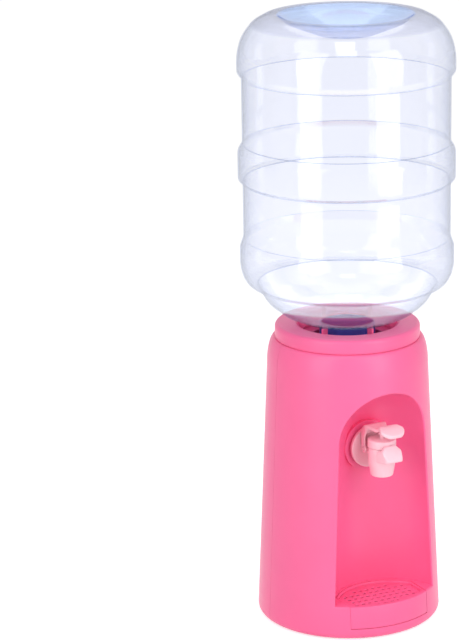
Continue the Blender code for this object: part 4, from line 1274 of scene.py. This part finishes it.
    def build_bonnet(self) -> Piece:
        """The bonnet that closes the tap's chamber and guides the stem."""
        skirt, inner = self.chamber - GAP, self.bonnet_skirt - GAP
        bore, top, low = self.stem_bore, self.bonnet.high.z, self.bonnet_z
        line = rounded(
            [
                (self.bonnet.radius, top, 0.0016),
                (self.bonnet.radius, low, 0.0005),
                (skirt, low),
                (skirt, self.bonnet.low.z),
                (inner, self.bonnet.low.z),
                (inner, low + 0.0005),
                (bore, low + 0.0005),
                (bore, self.groove[0]),
                (self.groove_radius, self.groove[0]),
                (self.groove_radius, self.groove[1]),
                (bore, self.groove[1]),
                (bore, top, 0.0006),
            ],
            0.0001,
        )
        return stand_for(turned("bonnet", line, 96, at=(0, self.axis)), "tap_bonnet")

    def build_stem(self) -> Piece:
        """The push stem with its domed button."""
        top, low, collar = self.stem.high.z, self.stem.low.z, self.bonnet.low.z
        thin, wide, button = self.stem_radius, self.stem_collar, self.button_radius
        line = rounded(
            [
                (0.0, top),
                (0.0028, top, 0.0008),
                (button, top - 0.0010, 0.0005),
                (button, top - 0.0018, 0.0002),
                (thin, top - 0.0018),
                (thin, collar + 0.0013),
                (wide, collar + 0.0013, 0.0003),
                (wide, collar, 0.0003),
                (thin, collar),
                (thin, low, 0.0004),
                (0.0, low),
            ],
            0.0,
            closed=False,
        )
        return stand_for(turned("stem", line, 48, at=(0, self.axis), closed=False), "tap_stem")

    def lever_line(self) -> list[Point]:
        """The middle of the lever's plate from its pivot to its tip, seen from the side."""
        py, pz = self.pivot.y, self.pivot.z
        over = self.stem.high.z + GAP + self.lever_thickness / 2
        back = py + 0.0028
        return [
            (py + 0.0008, pz),
            (back, pz + 0.0110),
            (back - 0.0006, pz + 0.0180),
            (back - 0.0050, over + 0.0012),
            (self.axis + 0.0060, over + 0.0006),
            (self.axis, over),
            (self.axis - 0.0050, over + 0.0026),
            (self.axis - 0.0095, over + 0.0052),
            (self.axis - 0.0140, over + 0.0056),
            (self.axis - 0.0200, over + 0.0038),
            (self.lever_tip, over),
        ]

    def build_lever(self) -> Piece:
        """The lever: a curved plate with a dished paddle and two arms."""
        half, reach = self.lever_thickness / 2, self.fork + self.arm
        side = thickened(curved(self.lever_line(), 6), half)
        wide = reach + 0.0015
        plate = slab("lever", side, -wide, wide, SIDE_VIEW)
        py, pz, high = self.pivot.y, self.pivot.z, self.stem.high.z + 0.0034
        bracket = [
            (py + 0.0038, pz - 0.0005),
            (py + 0.0040, pz + 0.0120),
            (py + 0.0030, pz + 0.0195),
            (py - 0.0005, high),
            (py - 0.0070, high),
            (py - 0.0045, pz + 0.0170),
            (py - 0.0020, pz + 0.0120),
            (py - 0.0018, pz - 0.0005),
        ]
        arms = slab("arms", rounded(bracket, 0.0025), -wide, wide, SIDE_VIEW)
        plate = worked(plate, Joinery.JOIN, arms)
        plate = worked(plate, Joinery.KEEP_INSIDE, slab("lever_plan", self.lever_plan(reach), 0.15, 0.25))
        eye = rod("eyes", self.eye_radius, (-reach, *self.pivot.yz), (reach, *self.pivot.yz))
        between = [(-self.fork, -FAR), (self.fork, -FAR), (self.fork, 0), (-self.fork, 0)]
        fork = slab("fork", between, self.spout_z, pz + 0.0165)
        pin = rod("pin", self.trunnion + GAP, (-0.03, *self.pivot.yz), (0.03, *self.pivot.yz), 32)
        plate = worked(worked(plate, Joinery.JOIN, eye), Joinery.CUT, fork, pin)
        return stand_for(melted(plate, self.cell, 18), "tap_lever")

    def lever_plan(self, reach: float) -> Line:
        """The lever from above: wide at the arms, a narrow neck, then an oval paddle."""
        neck, paddle = self.axis - 0.0010, self.paddle_front + self.paddle_round
        half = [
            (reach, self.pivot.y + 0.0100),
            (reach, self.pivot.y - 0.0040),
            (self.neck_half_width + 0.0012, neck + 0.0050),
            (self.neck_half_width, neck - 0.0030),
            (self.lever_half_width - 0.0022, paddle + 0.0060),
        ]
        oval = arc((0, 0), 1.0, 0, -78, 10)
        half += [(self.lever_half_width * x, paddle + self.paddle_round * y) for x, y in oval]
        return rounded(half + [(-x, y) for x, y in reversed(half)], 0.006)

    def build(self) -> list[Piece]:
        """Builds the tap's pieces."""
        return [self.build_body(), self.build_bonnet(), self.build_stem(), self.build_lever()]


def curved(points: Sequence[Point], steps: int) -> list[Point]:
    """A smooth curve through points, with some steps between each two."""
    made: list[Point] = []
    ends = [points[0], *points, points[-1]]
    for before, start, end, after in zip(ends, ends[1:], ends[2:], ends[3:]):
        for k in range(steps):
            t = k / steps
            weights = (
                -0.5 * t + t * t - 0.5 * t**3,
                1 - 2.5 * t * t + 1.5 * t**3,
                0.5 * t + 2 * t * t - 1.5 * t**3,
                -0.5 * t * t + 0.5 * t**3,
            )
            parts = zip(weights, (before, start, end, after))
            made.append(tuple(np.sum([w * np.array(p) for w, p in parts], axis=0)))
    return [*made, tuple(points[-1])]


def thickened(points: Sequence[Point], half: float) -> Line:
    """The outline of a line of the given half thickness."""
    sides: tuple[Line, Line] = ([], [])
    for i, point in enumerate(points):
        along = (Vector(points[min(i + 1, len(points) - 1)]) - Vector(points[max(i - 1, 0)])).normalized()
        normal = Vector((-along.y, along.x)) * half
        sides[0].append(tuple(Vector(point) + normal))
        sides[1].append(tuple(Vector(point) - normal))
    return sides[0] + sides[1][::-1]


# ---------------------------------------------------------------- bottle


@dataclass
class Bottle:
    """The inverted bottle and its cap."""

    wide: float = 0.1062
    waist: float = 0.1016
    wall: float = 0.0011
    neck_radius: float = 0.0255
    rib_round: float = 0.0022
    cap_flutes: int = 60
    flute_depth: float = 0.00035
    neck_length: float = 0.0294
    belly: float = 0.0390  # where the belly starts, over the neck's root
    middle: float = 0.1425  # where the middle band starts
    push_up: float = 0.0665  # radius of the hollow in the bottle's base
    push_up_depth: float = 0.0215
    crown_shade_depth: float = 0.0100  # of the crown's painted refraction shade
    crease_shade_reach: float = 0.0011  # faces this near a crease get its painted shade
    tube_radius: float = 0.0074
    tube_wall: float = 0.0016

    def __post_init__(self) -> None:
        """Reads the places of the bottle and its cap."""
        self.bottle, self.cap = Space.of("bottle"), Space.of("bottle_cap")
        self.root = self.bottle.low.z + self.neck_length
        self.height = self.bottle.high.z - self.root

    def outer_line(self) -> list[Point]:
        """The bottle's outside from its mouth to the middle of its push-up, with each corner's radius."""
        wide, waist, top, edge = self.wide, self.waist, self.height, self.rib_round
        belly, middle = self.belly, self.middle
        return [
            (self.neck_radius, -self.neck_length, 0.0004),
            (self.neck_radius, 0.0, 0.0030),
            (0.0480, 0.0030, 0.0200),
            (0.0635, 0.0098, 0.0200),
            (0.0790, 0.0215, 0.0300),
            (wide - 0.0178, belly - 0.0008, 0.0014),
            (wide - 0.0084, belly + 0.0016, 0.0120),
            (wide - 0.0036, belly + 0.0095, 0.0200),
            (wide - 0.0010, belly + 0.0190, 0.0400),
            (wide - 0.0010, belly + 0.0380, 0.0040),
            (waist, belly + 0.0480, 0.0014),
            (waist, middle, 0.0010),
            (wide, middle + 0.0030, edge),
            (wide, middle + 0.0310, 0.0100),
            (waist, middle + 0.0380, 0.0012),
            (waist, top - 0.0610, 0.0012),
            (wide - 0.0002, top - 0.0550, 0.0040),
            (wide - 0.0002, top - 0.0400, 0.0500),
            (wide - 0.0040, top - 0.0230, 0.0450),
            (wide - 0.0152, top - 0.0080, 0.0250),
            (wide - 0.0300, top, 0.0300),
            (self.push_up, top, 0.0040),
            (0.0560, top - 0.0080, 0.0100),
            (0.0280, top - 0.0190, 0.0040),
            (0.0150, top - 0.0202, 0.0015),
            (0.0110, top - 0.0190, 0.0015),
            (0.0, top - 0.0186),
        ]

    def build_bottle(self) -> Piece:
        """The blown bottle: one thin wall that follows its outside."""
        outer = spaced(rounded(self.outer_line(), 0.0, closed=False, step=7), 0.012)
        inner = []
        for i, point in enumerate(outer):
            before, after = Vector(outer[max(i - 1, 0)]), Vector(outer[min(i + 1, len(outer) - 1)])
            along = (after - before).normalized()
            inner.append((max(point[0] - along.y * self.wall, 0.0), point[1] + along.x * self.wall))
        neck = self.neck_radius - self.wall
        inner = [(neck, outer[0][1]), *[p for p in inner[1:] if p[1] > outer[0][1] + 0.001]]
        inner[-1] = (0.0, outer[-1][1] - self.wall)
        line = [(radius, self.root + z) for radius, z in [*inner[::-1], *outer]]
        piece = stand_for(turned("bottle_fine", line, 144, closed=False), "bottle")
        self.dress(piece)
        return piece

    def dress(self, piece: Piece) -> None:
        """Tints the faces near the creases darker and the crown grey-lavender, both painted shade that stands
        in for refraction in the bent wall, and tints the push-up bluer.

        Args:
            piece: the bottle.
        """
        for finish in (Finish.BOTTLE_CREASE_SHADE, Finish.BOTTLE_BASE, Finish.BOTTLE_TOP_SHADE):
            piece.data.materials.append(finish.material())
        belly, middle, top = self.belly, self.middle, self.height
        creases = [(self.waist, belly + 0.0480), (self.waist, middle), (self.waist, middle + 0.0380)]
        creases += [(self.waist, top - 0.0610), (self.wide - 0.0178, belly - 0.0008)]
        for face in piece.data.polygons:
            flat, z = math.hypot(face.center.x, face.center.y), face.center.z - self.root
            # faces near a crease get painted shade
            if any(math.hypot(flat - r, z - height) < self.crease_shade_reach for r, height in creases):
                face.material_index = 1
            elif z > top - self.push_up_depth and flat < self.push_up:
                face.material_index = 2
            # the crown gets painted refraction shade
            elif z > top - self.crown_shade_depth:
                face.material_index = 3

    def build_cap(self) -> Piece:
        """The screw cap with fine flutes and the tube that the feed probe enters."""
        low, top, radius = self.cap.low.z, self.cap.high.z, self.cap.radius
        inner, tube, tube_outer = self.neck_radius + GAP, self.tube_radius, self.tube_radius + self.tube_wall
        line = rounded(
            [
                (radius - 0.0005, top, 0.0005),
                (radius, low + 0.0015, 0.0010),
                (radius - 0.0015, low, 0.0010),
                (tube, low, 0.0004),
                (tube, low + 0.0160, 0.0003),
                (tube_outer, low + 0.0160, 0.0003),
                (tube_outer, low + 0.0020, 0.0004),
                (inner, low + 0.0020),
                (inner, top),
            ],
            0.0,
        )
        cap = turned("cap", spaced([*line, line[0]], 0.004)[:-1], self.cap_flutes * 6)
        for vertex in cap.data.vertices:
            flat = math.hypot(vertex.co.x, vertex.co.y)
            inside = low + 0.003 < vertex.co.z < top - 0.001
            if flat > radius - 0.0008 and inside:
                wave = 0.5 - 0.5 * math.cos(self.cap_flutes * math.atan2(vertex.co.y, vertex.co.x))
                scale = 1 - self.flute_depth * wave / flat
                vertex.co.x, vertex.co.y = vertex.co.x * scale, vertex.co.y * scale
        return stand_for(cap, "bottle_cap")

    def build(self) -> list[Piece]:
        """Builds the bottle and its cap."""
        return [self.build_bottle(), self.build_cap()]


# ---------------------------------------------------------------- small pieces


@dataclass
class SmallPieces:
    """Feet, washers, seals and the bottle's seat: turned rings in the places of their solids."""

    ring_sides: int = 64
    washer_hole: float = 0.0083
    seal_hole: float = 0.0025
    seat_wall: float = 0.0020
    seat_cup: float = 0.0360
    seat_hole: float = 0.0063

    def ring(self, name: str, node: str, inner: float, edge: float) -> Piece:
        """A flat ring, or a disc where inner is nothing, in the place of a node.

        Args:
            name: the piece's name.
            node: the solid that it stands for.
            inner: the radius of its hole.
            edge: how its edges are rounded.

        Returns:
            The ring, on its body.
        """
        space = Space.of(node)
        upright = space.high.z - space.low.z < space.high.y - space.low.y
        low, high = (space.low.z, space.high.z) if upright else (space.low.y, space.high.y)
        at = space.middle.xy if upright else (0.0, 0.0)
        outer, closed = space.radius, inner > 0
        line = rounded([(inner, low), (outer, low), (outer, high), (inner, high)], edge, closed)
        piece = turned(name, line, self.ring_sides, at=at, closed=closed)
        if not upright:
            # The ring was turned upright at the origin, so it is laid over to face the front.
            turn = Matrix(((1, 0, 0, 0), (0, 0, 1, 0), (0, -1, 0, space.middle.z), (0, 0, 0, 1)))
            piece.data.transform(turn)
        return stand_for(piece, node)

    def build_seat(self) -> Piece:
        """The bottle's seat: the reservoir's lid, with a cup for the cap."""
        space = Space.of("bottle_seat")
        outer, low, top = space.radius, space.low.z, space.high.z
        wall, cup, hole = self.seat_wall, self.seat_cup, self.seat_hole
        line = rounded(
            [
                (outer, top, 0.0003),
                (outer, top - wall, 0.0003),
                (cup + wall, top - wall, 0.0010),
                (cup + wall, low, 0.0015),
                (hole, low, 0.0003),
                (hole, low + wall, 0.0003),
                (cup, low + wall, 0.0012),
                (cup, top, 0.0010),
            ],
            0.0,
        )
        return stand_for(turned("seat", line, 96), "bottle_seat")

    def build(self) -> list[Piece]:
        """Builds the small pieces."""
        rows = [(f"rubber_foot_{i}", f"foot_{i}", 0.0, 0.0008) for i in (1, 2, 3, 4)]
        rows += [
            ("washer_outer", "outer_washer", self.washer_hole, 0.0005),
            ("washer_inner", "inner_washer", self.washer_hole, 0.0005),
            ("seal_of_valve", "valve_seal", self.seal_hole, 0.0003),
            ("disc_of_valve", "valve_disc", 0.0, 0.0006),
        ]
        return [*(self.ring(*row) for row in rows), self.build_seat()]


def dress_solids() -> None:
    """Gives the finish of its slot to each solid of the frame that still shows."""
    for name, node in frame["nodes"].items():
        if node.hide_render:
            continue
        slot = slot_of(name)
        node.data.materials.clear()
        node.data.materials.append(SLOT_FINISHES[slot].material())
        LOG.info("%s keeps its solid in %s", name, slot)


# ---------------------------------------------------------------- studio


@dataclass(frozen=True)
class Softbox:
    """One soft lamp, which faces the dispenser."""

    name: str
    azimuth: float  # degrees from the front towards +X
    distance: float
    height: float  # of its middle
    width: float
    tall: float
    brightness: float  # of its face, where 1 is white

    def build(self, target: Vector) -> None:
        """Hangs the lamp and points it at the target."""
        data = bpy.data.lights.new(self.name, "AREA")
        data.shape, data.size, data.size_y = "RECTANGLE", self.width, self.tall
        data.energy = self.brightness * math.pi * self.width * self.tall
        lamp = placed(self.name, data)
        turn = math.radians(self.azimuth)
        lamp.location = (self.distance * math.sin(turn), -self.distance * math.cos(turn), self.height)
        lamp.rotation_euler = (lamp.location - target).to_track_quat("Z", "Y").to_euler()
        lamp.visible_camera = False


@dataclass(frozen=True)
class Camera:
    """The camera's place and aim."""

    place: Point = (-1.2660, -2.1578, 1.0212)
    heading: float = 27.74  # degrees from +Y towards +X
    pitch: float = 0.2784  # radians down
    roll: float = -0.0173
    lens: float = 147.6

    def build(self) -> None:
        """Adds the camera and makes it the scene's."""
        turn = math.radians(self.heading)
        flat = math.cos(self.pitch)
        aim = Vector((math.sin(turn) * flat, math.cos(turn) * flat, -math.sin(self.pitch)))
        right = Vector((math.cos(turn), -math.sin(turn), 0))
        above = right.cross(aim)
        side = math.cos(self.roll) * right + math.sin(self.roll) * above
        up = math.cos(self.roll) * above - math.sin(self.roll) * right
        data = bpy.data.cameras.new("camera")
        data.lens, data.sensor_width, data.clip_end = self.lens, 36.0, 100.0
        camera = placed("camera", data)
        camera.matrix_world = Matrix.Translation(self.place) @ Matrix((side, up, -aim)).transposed().to_4x4()
        bpy.context.scene.camera = camera


@dataclass(frozen=True)
class Studio:
    """A white floor and room with soft lamps."""

    ambient: float = 0.42
    floor_albedo: float = 0.85
    floor_lift: float = 0.66
    floor_size: float = 60.0
    lamps: tuple[Softbox, ...] = (
        Softbox("softbox_left", -68.0, 1.30, 0.78, 0.66, 1.60, 2.6),
        Softbox("softbox_front", 15.0, 1.35, 0.78, 0.74, 1.60, 2.9),
        Softbox("softbox_high", -32.0, 0.90, 2.10, 0.50, 0.50, 6.0),
        Softbox("softbox_back", 150.0, 0.60, 1.90, 1.20, 1.20, 0.6),
    )

    def to_eye(self, graph: Graph) -> Wire:
        """1 for what is seen straight, in a reflection or through a clear wall, else 0."""
        path = graph.node("ShaderNodeLightPath", output="Is Camera Ray")
        nodes = path.socket.node.outputs
        seen = path + Wire(graph, nodes["Is Glossy Ray"]) + Wire(graph, nodes["Is Transmission Ray"])
        return seen.at_most(1.0)

    def build_world(self) -> None:
        """The room: soft light all round, and white where it is seen."""
        world = bpy.data.worlds.new("room")
        bpy.context.scene.world = world
        graph = Graph(world)
        soft = graph.plain("ShaderNodeBackground", WHITE, self.ambient)
        white = graph.plain("ShaderNodeBackground", WHITE, 1.0)
        graph.close(graph.mix_shader(self.to_eye(graph), soft, white), "ShaderNodeOutputWorld")

    def build_floor(self) -> None:
        """The floor: white, but it keeps the shadow."""
        bpy.ops.mesh.primitive_plane_add(size=self.floor_size)
        floor = bpy.context.object
        floor.name = "floor"
        material = bpy.data.materials.new("floor_white")
        graph = Graph(material)
        dull = graph.plain("ShaderNodeBsdfDiffuse", (self.floor_albedo,) * 3)
        glow = graph.plain("ShaderNodeEmission", WHITE, self.floor_lift)
        lifted = graph.node("ShaderNodeAddShader", {}, {0: dull, 1: glow})
        graph.close(graph.mix_shader(self.to_eye(graph), dull, lifted))
        floor.data.materials.append(material)

    def build(self) -> None:
        """Builds the room, the floor, the lamps and the camera."""
        low, high = CAD_BOUNDS
        target = (low + high) / 2
        self.build_world()
        self.build_floor()
        for lamp in self.lamps:
            lamp.build(target)
        Camera().build()
        scene = bpy.context.scene
        scene.view_settings.view_transform = "Standard"
        scene.cycles.transparent_max_bounces = 32
        LOG.info("studio with %d lamps", len(self.lamps))


def main() -> None:
    """Builds every sub-assembly in order, dresses it and sets up the studio."""
    logging.basicConfig(level=logging.INFO, format="%(message)s")
    Studio().build()
    housing = Housing()
    for assembly in (housing, DripTray(housing), Tap(), Bottle(), SmallPieces()):
        pieces = assembly.build()
        LOG.info("%s: %d pieces", type(assembly).__name__, len(pieces))
    dress_solids()


if __name__ == "__main__":
    main()
